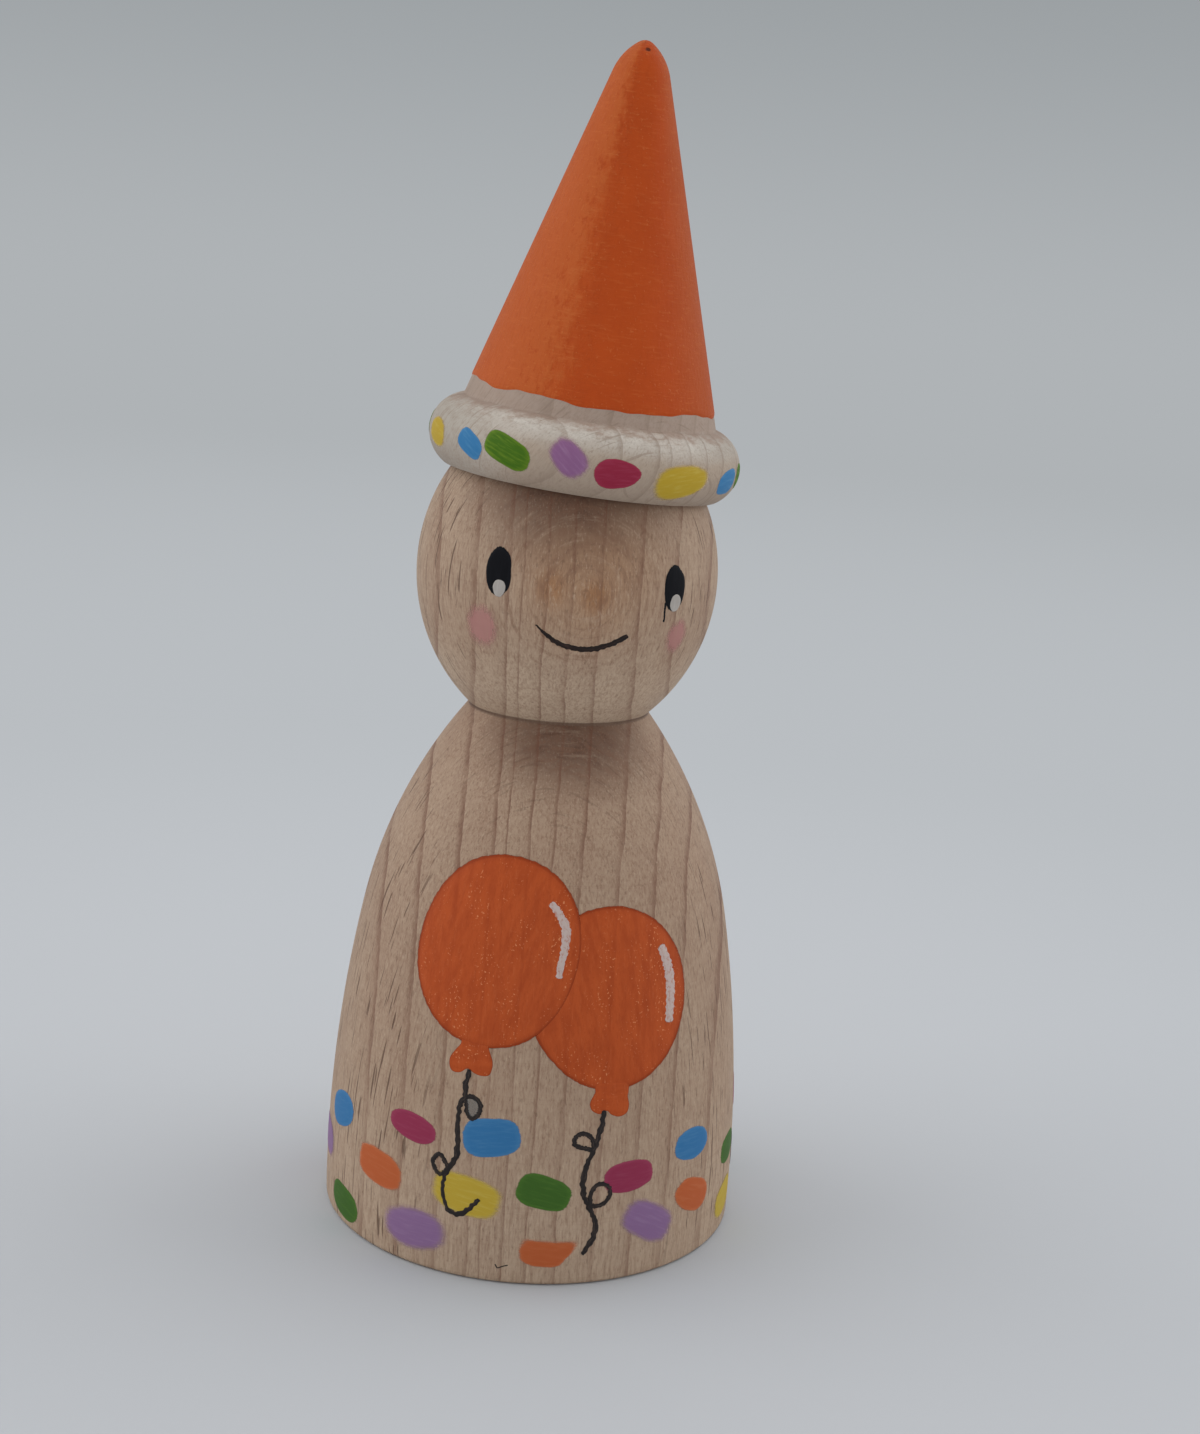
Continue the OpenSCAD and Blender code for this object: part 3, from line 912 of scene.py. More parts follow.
@dataclass(frozen=True)
class Ink:
    """A drawn or painted line: "stroke" holds the way along it and across it.

    Attributes:
        name: Name of the material.
        ink: Colour of the line.
        worn: Colour where the line ran dry.
        cover: How much of the ground the line hides.
        grit: Dry places in a millimetre of the line.
    """

    name: str = "pen_ink"
    ink: Colour = linear(36, 31, 31)
    worn: Colour = linear(78, 64, 56)
    cover: float = 0.97
    grit: float = 1.1

    def make(self) -> bpy.types.Material:
        """Builds the material.

        Returns:
            The material.
        """
        graph = Graph(bpy.data.materials.new(self.name))
        dry = graph.noise(graph.own("stroke"), Noise((self.grit, 2.0, 5.0), 3.0, 0.7))
        edge = graph.along(graph.own("rim"), (1.0, 0.0, 0.0)) + (dry - 0.5) * 0.5
        return graph.finish(
            Base_Color=graph.blend(dry.step(0.46, 0.72) * 0.75, self.ink, self.worn),
            Roughness=0.5,
            Specular_IOR_Level=0.2,
            Alpha=edge.step(1.12, 0.86) * self.cover,
            Normal=graph.relief({"dry": dry}, (("dry", 1.0),), 0.02, 0.5),
        )


# Surfaces.


@dataclass
class Mesh:
    """Points, faces and point attributes of a piece, in millimetres."""

    points: Array
    faces: list[Array]
    attributes: dict[str, Array] = field(default_factory=dict)

    def build(self, name: str, material: bpy.types.Material, body: Body, slot: str, *nodes: str) -> None:
        """Makes the object, lets it ride on its body and stand for its solids.

        Args:
            name: Name of the piece.
            material: Finish of the piece.
            body: Body that carries it.
            slot: Slot for its finish; not used.
            *nodes: Solids that the piece stands for.
        """
        mesh = bpy.data.meshes.new(name)
        corners = np.concatenate([f.ravel() for f in self.faces]).astype(np.int32)
        counts = np.concatenate([np.full(len(f), f.shape[1]) for f in self.faces]).astype(np.int32)
        starts = np.concatenate([[0], np.cumsum(counts)[:-1]]).astype(np.int32)
        mesh.vertices.add(len(self.points))
        mesh.vertices.foreach_set("co", (self.points * MM).astype(np.float32).ravel())
        mesh.loops.add(len(corners))
        mesh.loops.foreach_set("vertex_index", corners)
        mesh.polygons.add(len(counts))
        mesh.polygons.foreach_set("loop_start", starts)
        mesh.polygons.foreach_set("loop_total", counts)
        mesh.polygons.foreach_set("use_smooth", np.ones(len(counts), bool))
        for key, values in self.attributes.items():
            layer = mesh.attributes.new(key, "FLOAT_VECTOR", "POINT")
            layer.data.foreach_set("vector", values.astype(np.float32).ravel())
        mesh.update(calc_edges=True)
        mesh.validate()
        mesh.materials.append(material)
        piece = bpy.data.objects.new(name, mesh)
        bpy.context.scene.collection.objects.link(piece)
        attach(piece, body.value)
        if nodes:
            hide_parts(*nodes)
        log.info("%s: %d triangles", name, int((counts - 2).sum()))


def joined(parts: Sequence[Mesh]) -> Mesh:
    """Several meshes as one.

    Args:
        parts: The meshes, which all carry the same attributes.

    Returns:
        One mesh with all their points and faces.
    """
    points = np.concatenate([part.points for part in parts])
    shifts = np.cumsum([0] + [len(part.points) for part in parts])
    faces = [block + shift for part, shift in zip(parts, shifts) for block in part.faces]
    names = parts[0].attributes
    return Mesh(points, faces, {k: np.concatenate([part.attributes[k] for part in parts]) for k in names})


def arc(centre: Span, radius: float, start: float, end: float, count: int) -> Array:
    """Points (r, z) on an arc: centre + radius * (cos t, sin t) for t in even steps.

    Args:
        centre: Centre of the arc.
        radius: Radius of the arc.
        start: First angle in degrees.
        end: Last angle in degrees.
        count: Number of points.

    Returns:
        Array of shape (count, 2).
    """
    t = np.radians(np.linspace(start, end, count))
    return np.stack([centre[0] + radius * np.cos(t), centre[1] + radius * np.sin(t)], 1)


def run_along(line: Array) -> Array:
    """Length of a polyline up to each of its points."""
    return np.concatenate([[0], np.cumsum(np.linalg.norm(np.diff(line, axis=0), axis=1))])


def even(line: Array, count: int) -> Array:
    """A polyline read again at even steps of its own length.

    Args:
        line: Points, one in a row.
        count: Number of points wanted.

    Returns:
        The new points.
    """
    run = run_along(line)
    at = np.linspace(0, run[-1], count)
    return np.stack([np.interp(at, run, line[:, k]) for k in range(line.shape[1])], 1)


def smooth(line: Array, steps: int) -> Array:
    """Smooth line through points: on each span a cubic whose ends keep the slope of their neighbours.

    Args:
        line: Points to pass through.
        steps: New points on each span.

    Returns:
        The finer line.
    """
    p = np.concatenate([line[:1], line, line[-1:]])
    a, b, c, d = (p[k : len(p) - 3 + k, None, :] for k in range(4))
    t = np.linspace(0, 1, steps, endpoint=False)[None, :, None]
    fine = b + 0.5 * t * (c - a + t * (2 * a - 5 * b + 4 * c - d + t * (3 * (b - c) + d - a)))
    return np.concatenate([fine.reshape(-1, line.shape[1]), line[-1:]])


def closed(line: Array, steps: int) -> Array:
    """Smooth closed line through points, which starts and ends at the second of them.

    Args:
        line: Points to pass through, without the first one again.
        steps: New points on each span.

    Returns:
        The finer line, whose last point is its first one again.
    """
    fine = smooth(np.concatenate([line, line[:3]]), steps)
    return fine[steps : steps * (len(line) + 1) + 1]


def arc_radius(centre: Span, radius: float, height: Array) -> Array:
    """How far from the axis the outer half of a circle in the section lies.

    Args:
        centre: Centre (r, z) of the circle.
        radius: Radius of the circle.
        height: Heights z.

    Returns:
        r + sqrt(radius^2 - (height - z)^2), with (r, z) the centre.
    """
    return centre[0] + np.sqrt(np.maximum(radius**2 - (height - centre[1]) ** 2, 0))


def round_faces(index: Array) -> Array:
    """Faces between rows of points that run round a turned surface.

    Args:
        index: Numbers of the points, a row for each height.

    Returns:
        The numbers of the four corners of each face.
    """
    right = np.roll(index, -1, 1)
    return np.stack([index[:-1], right[:-1], right[1:], index[1:]], 2).reshape(-1, 4)


def revolve(profile: Array, columns: int) -> Mesh:
    """Surface of revolution: (r sin t, -r cos t, z) for each profile point and bearing t.

    Args:
        profile: Points (r, z); the ends may lie on the axis, where they close in a fan.
        columns: Number of columns round the axis.

    Returns:
        The closed surface, which faces outwards where the profile runs upwards outside.
    """
    t = np.linspace(0, 2 * np.pi, columns, endpoint=False)
    first = profile[0, 0] < TINY
    last = profile[-1, 0] < TINY
    body = profile[(1 if first else 0) : (len(profile) - 1 if last else len(profile))]
    r = body[:, :1]
    z = body[:, 1:]
    grid = np.stack([r * np.sin(t), -r * np.cos(t), z + 0 * t], 2)
    rows = len(body)
    index = np.arange(rows * columns).reshape(rows, columns)
    right = np.roll(index, -1, 1)
    faces = [round_faces(index)]
    points = grid.reshape(-1, 3)
    if first:
        points = np.concatenate([points, [[0, 0, profile[0, 1]]]])
        faces.append(np.stack([np.full(columns, len(points) - 1), right[0], index[0]], 1))
    if last:
        points = np.concatenate([points, [[0, 0, profile[-1, 1]]]])
        faces.append(np.stack([index[-1], right[-1], np.full(columns, len(points) - 1)], 1))
    return Mesh(points, faces)


class Skin:
    """A turned surface that paint lies on."""

    def radius(self, height: Array) -> Array:
        """Radius of the surface at a height."""
        raise NotImplementedError

    def place(self, points: Array) -> Array:
        """Moves points from the surface's own frame to the doll's."""
        return points

    def stamp(self, bearing: float, height: float, flat: Array, lift: Array) -> Array:
        """Lays a flat drawing on the surface, seen straight along a bearing.

        A point (u, v) of the drawing lands at height + v, u to the side of the
        bearing and sqrt((radius + lift)^2 - u^2) out from the axis.

        Args:
            bearing: Bearing in degrees.
            height: Height of the drawing's origin.
            flat: Points (u, v) of the drawing.
            lift: Height of each point above the wood.

        Returns:
            Points in the doll's frame.
        """
        a = math.radians(bearing)
        side = np.array([math.cos(a), math.sin(a), 0])
        out = np.array([math.sin(a), -math.cos(a), 0])
        z = height + flat[:, 1]
        r = self.radius(z) + lift
        depth = np.sqrt(np.maximum(r**2 - flat[:, 0] ** 2, TINY))
        points = flat[:, :1] * side + depth[:, None] * out
        points[:, 2] = z
        return self.place(points)


@dataclass(frozen=True)
class Stroke:
    """A dab of paint: an oval drawn towards a rectangle, with a wavering rim.

    In its own frame a rim point at angle t is (l / 2) * sign(cos t) |cos t|^(2 / s)
    and (w / 2) * sign(sin t) |sin t|^(2 / s) * (1 + taper * x), with s the
    squareness, and both are multiplied by 1 + a few small sines of t.

    Attributes:
        bearing: Bearing from which the dab is seen straight on.
        height: Height of its middle.
        length: Its length, before the rim's softness widens it.
        width: Its width, before the rim's softness widens it.
        lean: How far its length is turned up from level, in degrees.
        taper: How much wider than its middle its far end is, as a share.
        squareness: 2 for an oval, and more for a dab with corners.
        waver: Strength of the rim's waver.
        soft: How much softer than usual the rim is.
        soft_top: How much softer still it is at the top.
        fall: Power with which the film thins out towards the rim.
        bead: Rise, place and breadth of the bead near the rim, as shares.
        rings: Number of rings of points from its middle to its rim.
        spokes: Number of points on each ring.
    """

    bearing: float
    height: float
    length: float
    width: float
    lean: float = 0.0
    taper: float = 0.0
    squareness: float = 2.2
    waver: float = 0.02
    soft: float = 0.0
    soft_top: float = 0.0
    fall: float = 6.0
    bead: Triple = (0.25, 0.86, 0.08)
    rings: int = 14
    spokes: int = 96

    def outline(self, chance: np.random.Generator) -> Array:
        """The rim in the dab's own frame.

        Args:
            chance: Source of the waver.

        Returns:
            Array of shape (spokes, 2).
        """
        t = np.linspace(0, 2 * np.pi, self.spokes, endpoint=False)
        power = 2 / self.squareness
        x = np.sign(np.cos(t)) * np.abs(np.cos(t)) ** power
        y = np.sign(np.sin(t)) * np.abs(np.sin(t)) ** power
        waves = np.arange(2, 7)[:, None]
        swing = np.sin(waves * t + chance.uniform(0, PHASE, waves.shape))
        wobble = (swing * chance.uniform(0.3, 1, waves.shape) / waves**0.5).sum(0)
        scale = (1 + self.waver * wobble) * (1 + SPREAD * self.soft)
        wide = 1 + self.taper * x
        return np.stack([self.length / 2 * x * scale, self.width / 2 * y * wide * scale], 1)

    def mesh(self, skin: Skin, film: float, seed: int) -> Mesh:
        """Builds the dab as rings from its middle to its rim.

        The film is film * (1 - t^fall + b * exp(-((t - p) / q)^2)) high at share t of
        the way to the rim, with (b, p, q) the bead, and its rim sinks just under the
        wood.

        Args:
            skin: Surface that it lies on.
            film: Thickness of the film.
            seed: Number that picks its waver.

        Returns:
            The mesh with "stroke" and "rim".
        """
        rim = self.outline(np.random.default_rng(seed))
        share = np.sin(np.linspace(0, np.pi / 2, self.rings + 1))[1:]
        local = np.concatenate([[[0.0, 0.0]], (share[:, None, None] * rim[None]).reshape(-1, 2)])
        near = np.concatenate([[0.0], np.repeat(share, self.spokes)])
        rise, peak, breadth = self.bead
        lift = film * (1 - near**self.fall + rise * np.exp(-(((near - peak) / breadth) ** 2)))
        lift[-self.spokes :] = -DIP
        c = math.cos(math.radians(self.lean))
        s = math.sin(math.radians(self.lean))
        points = skin.stamp(self.bearing, self.height, local @ np.array([[c, s], [-s, c]]), lift)
        index = 1 + np.arange(self.rings * self.spokes).reshape(self.rings, self.spokes)
        right = np.roll(index, -1, 1)
        faces = [
            np.stack([index[:-1], index[1:], right[1:], right[:-1]], 2).reshape(-1, 4),
            np.stack([np.zeros(self.spokes, int), index[0], right[0]], 1),
        ]
        stroke = np.column_stack([local, np.full(len(local), seed * DAB_SHIFT)])
        top = np.clip(local[:, 1] / (np.abs(rim[:, 1]).max() + TINY), 0, 1)
        soft = self.soft + self.soft_top * top
        return Mesh(points, faces, {"stroke": stroke, "rim": np.column_stack([near, soft, near * 0])})


@dataclass(frozen=True)
class Patch(Stroke):
    """A patch of paint whose rim is a smooth closed line through given points about its middle."""

    rim_points: Path = ()
    steps: int = 12

    def outline(self, chance: np.random.Generator) -> Array:
        """The closed line through the points, read again at even steps.

        Args:
            chance: Not drawn from, because the points say it all.

        Returns:
            Array of shape (spokes, 2).
        """
        return even(closed(np.array(self.rim_points), self.steps), self.spokes + 1)[:-1]


def dabbed(strokes: Iterable[Stroke], skin: Skin, film: float, seed: int) -> Mesh:
    """Several dabs as one mesh.

    Args:
        strokes: The dabs.
        skin: Surface that they lie on.
        film: Thickness of their film.
        seed: Number that picks the first one's waver; the others' count up from it.

    Returns:
        The mesh with "stroke" and "rim".
    """
    return joined([stroke.mesh(skin, film, seed + i) for i, stroke in enumerate(strokes)])


@dataclass(frozen=True)
class Line:
    """A drawn line of changing width along a path on a surface.

    Its section is a low arch: height film * (1 - s^2) at share s from the middle
    of the line to its edge, where it meets the surface.

    Attributes:
        bearing: Bearing from which the path is drawn.
        path: Points (side, height) that the line passes through.
        width: Widths at even steps along it.
        closed: Whether it runs back to its start.
        shake: How far the hand sways to the side, in millimetres.
        pressure: How far the width sways, as a share.
        columns: Number of points across it.
        steps: Number of points on each span of the path.
    """

    bearing: float
    path: Path
    width: tuple[float, ...]
    closed: bool = False
    shake: float = 0.0
    pressure: float = 0.045
    columns: int = 7
    steps: int = 10

    def sway(self, chance: np.random.Generator, at: Array) -> Array:
        """Nine sines of the way along the line, added up.

        Args:
            chance: Source of their phases.
            at: Share of the way for each point.

        Returns:
            The sum for each point.
        """
        waves = np.arange(3, 12)[:, None] * (1 + len(at) / 60)
        return np.sin(waves * at * PHASE + chance.uniform(0, PHASE, waves.shape)).sum(0)

    def mesh(self, skin: Skin, film: float, base: float, seed: int) -> Mesh:
        """Sweeps the section along the path.

        Args:
            skin: Surface that it lies on.
            film: Height of the arch.
            base: Height of the surface under the line's edges above the wood.
            seed: Number that picks its sway and tells its ink from another line's.

        Returns:
            The mesh with "stroke" and "rim".
        """
        if self.closed:
            line = closed(np.array(self.path), self.steps)[:-1]
            ahead = np.roll(line, -1, 0) - np.roll(line, 1, 0)
        else:
            line = smooth(np.array(self.path), self.steps)
            ahead = np.gradient(line, axis=0)
        ahead /= np.linalg.norm(ahead, axis=1)[:, None]
        side = np.stack([-ahead[:, 1], ahead[:, 0]], 1)
        at = np.linspace(0, 1, len(line))
        chance = np.random.default_rng(seed)
        width = np.interp(at, np.linspace(0, 1, len(self.width)), self.width)
        width = width * (1 + self.pressure * self.sway(chance, at))
        line = line + side * (self.shake / 3 * self.sway(chance, at))[:, None]
        across = np.linspace(-1, 1, self.columns)
        flat = line[:, None, :] + side[:, None, :] * across[None, :, None] * width[:, None, None] / 2
        lift = np.tile(base + film * (1 - across**2), (len(line), 1))
        lift[:, [0, -1]] = -DIP
        points = skin.stamp(self.bearing, 0.0, flat.reshape(-1, 2), lift.ravel())
        index = np.arange(len(points)).reshape(lift.shape)
        here = index if self.closed else index[:-1]
        there = np.roll(index, -1, 0) if self.closed else index[1:]
        faces = [np.stack([there[:, :-1], there[:, 1:], here[:, 1:], here[:, :-1]], 2).reshape(-1, 4)]
        run = run_along(line)
        stroke = np.stack(np.broadcast_arrays(run[:, None], across, seed * LINE_SHIFT), 2)
        beyond = np.zeros((len(line), 1))
        if not self.closed:
            beyond[:, 0] = 1 - np.minimum(np.minimum(run, run[-1] - run) / (width / 2), 1)
        edge = np.hypot(across, beyond)
        rim = np.stack([edge, edge * 0, edge * 0], 2)
        return Mesh(points, faces, {"stroke": stroke.reshape(-1, 3), "rim": rim.reshape(-1, 3)})


# The peg.


@dataclass
class Peg(Skin):
    """The turned body and head, one piece of bare beech on a flat base."""

    body_r: float = 20.0
    belly_h: float = 4.0
    belly_arc_r: float = 136.0
    shoulder_h: float = 30.0
    shoulder_arc_r: float = 46.0
    edge_r: float = 0.4
    head_r: float = 14.1
    head_h: float = 62.5
    cheek_arc_r: float = 17.3
    crown_rise: float = 1.5
    rows: int = 380
    columns: int = 256
    arc_points: int = 200
    base_points: int = 14
    edge_points: int = 9
    neck_tries: int = 20001

    def __post_init__(self) -> None:
        """Works out the centres of the arcs and the height of the crease at the neck."""
        self.belly_c = (self.body_r - self.belly_arc_r, self.belly_h)
        self.turn = math.degrees(math.asin((self.shoulder_h - self.belly_h) / self.belly_arc_r))
        reach = self.belly_arc_r - self.shoulder_arc_r
        t = math.radians(self.turn)
        self.shoulder_c = (self.belly_c[0] + reach * math.cos(t), self.belly_h + reach * math.sin(t))
        self.cheek_c = (self.head_r - self.cheek_arc_r, self.head_h)
        self.crown_z = self.head_h + self.crown_rise
        self.crown_r = self.cheek_arc_r - math.hypot(self.cheek_c[0], self.crown_rise)
        heights = np.linspace(self.shoulder_h, self.head_h, self.neck_tries)
        gap = self.body_radius(heights) - self.head_radius(heights)
        self.neck_z = float(heights[np.argmax(gap < 0)])

    def body_radius(self, height: Array) -> Array:
        """Radius of the body: the belly's arc below the shoulder's.

        Args:
            height: Heights.

        Returns:
            The radius at each of them.
        """
        belly = arc_radius(self.belly_c, self.belly_arc_r, height)
        shoulder = arc_radius(self.shoulder_c, self.shoulder_arc_r, height)
        return np.where(height < self.shoulder_h, belly, shoulder)

    def head_radius(self, height: Array) -> Array:
        """Radius of the head: the cheek's arc below the crown's ball.

        Args:
            height: Heights.

        Returns:
            The radius at each of them.
        """
        cheek = arc_radius(self.cheek_c, self.cheek_arc_r, height)
        crown = arc_radius((0.0, self.crown_z), self.crown_r, height)
        meet = self.crown_z + self.crown_r * self.crown_rise / math.hypot(self.cheek_c[0], self.crown_rise)
        return np.where(height < meet, cheek, crown)

    def radius(self, height: Array) -> Array:
        """Radius of the peg at a height."""
        return np.where(height < self.neck_z, self.body_radius(height), self.head_radius(height))

    def profile(self) -> Array:
        """The turned section, from the middle of the base up to the crown's pole.

        Returns:
            Points (r, z).
        """
        base_r = self.belly_c[0] + math.sqrt(self.belly_arc_r**2 - (self.belly_h - self.edge_r) ** 2)
        start = math.degrees(math.asin((self.edge_r - self.belly_h) / self.belly_arc_r))
        neck = math.degrees(math.asin((self.neck_z - self.shoulder_c[1]) / self.shoulder_arc_r))
        chin = math.degrees(math.asin((self.neck_z - self.head_h) / self.cheek_arc_r))
        crown = math.degrees(math.atan2(self.crown_rise, -self.cheek_c[0]))
        outside = np.concatenate([
            arc(self.belly_c, self.belly_arc_r, start, self.turn, self.arc_points),
            arc(self.shoulder_c, self.shoulder_arc_r, self.turn, neck, self.arc_points)[1:],
        ])
        head = np.concatenate([
            arc(self.cheek_c, self.cheek_arc_r, chin, crown, self.arc_points),
            arc((0.0, self.crown_z), self.crown_r, crown, 90, self.arc_points)[1:],
        ])
        share = self.rows // 2
        floor = np.linspace(0, base_r - self.edge_r, self.base_points)
        base = np.stack([floor, np.zeros(self.base_points)], 1)
        return np.concatenate([
            base[:-1],
            arc((base_r - self.edge_r, self.edge_r), self.edge_r, -90, 0, self.edge_points),
            even(outside, share)[1:],
            even(head, self.rows - share)[1:-1],
            [[0.0, self.crown_z + self.crown_r]],
        ])

    def build(self) -> None:
        """Makes the peg."""
        wood = BareBeech(crease=self.neck_z).make()
        revolve(self.profile(), self.columns).build("peg_beech", wood, Body.PEG, "peg_wood", "peg")


@dataclass(frozen=True)
class Face:
    """Eyes with a white glint, rosy cheeks and a thin smile, painted on the head."""

    peg: Peg
    eye_film: float = 0.05
    glint_film: float = 0.09
    cheek_film: float = 0.03
    tick_film: float = 0.03
    smile_film: float = 0.04
    smile_base: float = 0.01
    eyes: tuple[Stroke, ...] = (
        Stroke(-32.3, 63.9, 4.33, 2.6, 90, -0.03, 2.15, 0.03),
        Stroke(36.25, 63.1, 4.13, 2.66, 90, -0.03, 2.15, 0.03),
    )
    glints: tuple[Stroke, ...] = (
        Stroke(-31.6, 62.43, 1.67, 1.27, 84, 0.1, 2.1, 0.03, rings=10, spokes=64),
        Stroke(36.9, 61.75, 1.65, 1.4, 84, 0.1, 2.1, 0.03, rings=10, spokes=64),
    )
    cheeks: tuple[Stroke, ...] = (
        Stroke(-39.0, 58.8, 4.8, 4.0, 88, 0.0, 2.0, 0.03),
        Stroke(41.0, 58.6, 3.8, 3.3, 88, 0.0, 2.0, 0.04),
    )
    smile: Line = Line(
        1.0,
        (
            (-4.35, 59.56), (-3.9, 59.15), (-3.3, 58.67), (-2.25, 58.0), (-1.0, 57.66), (0.12, 57.57),
            (1.24, 57.72), (2.65, 58.22), (3.92, 58.92),
        ),
        (0.12, 0.2, 0.4, 0.48, 0.52, 0.54, 0.56, 0.52, 0.56),
        shake=0.022,
    )
    tick: Line = Line(
        36.25,
        ((-0.98, 61.9), (-1.02, 61.1), (-0.93, 60.4), (-0.98, 60.05)),
        (0.36, 0.24, 0.22, 0.3),
    )
    eye_paint: DabPaint = DabPaint(
        "eye_paint", linear(14, 14, 19), linear(27, 27, 33), 1.0, 0.04, 0.3, 0.45
    )
    glint_paint: DabPaint = DabPaint(
        "glint_paint", linear(168, 161, 155), linear(190, 184, 178), 0.93, 0.08, 0.5, 0.5
    )
    blush_paint: DabPaint = DabPaint(
        "blush_paint", linear(192, 136, 132), linear(184, 142, 130), 0.62, 0.55, 0.4, 0.6, 0.35
    )
    smile_ink: Ink = Ink("smile_ink", linear(30, 22, 20), linear(66, 44, 36))

    def build(self) -> None:
        """Makes the four painted parts of the face; a small tick hangs from the right eye."""
        tick = self.tick.mesh(self.peg, self.tick_film, 0.0, Seed.TICK)
        eyes = joined([dabbed(self.eyes, self.peg, self.eye_film, Seed.EYES), tick])
        eyes.build("eyes_painted", self.eye_paint.make(), Body.PEG, "black_paint", "eyes")
        glints = dabbed(self.glints, self.peg, self.glint_film, Seed.GLINTS)
        glints.build("glints_painted", self.glint_paint.make(), Body.PEG, "white_paint", "eye_glints")
        cheeks = dabbed(self.cheeks, self.peg, self.cheek_film, Seed.CHEEKS)
        cheeks.build("cheeks_painted", self.blush_paint.make(), Body.PEG, "pink_paint", "blush")
        smile = self.smile.mesh(self.peg, self.smile_film, self.smile_base, Seed.SMILE)
        smile.build("smile_drawn", self.smile_ink.make(), Body.PEG, "black_paint", "smile")


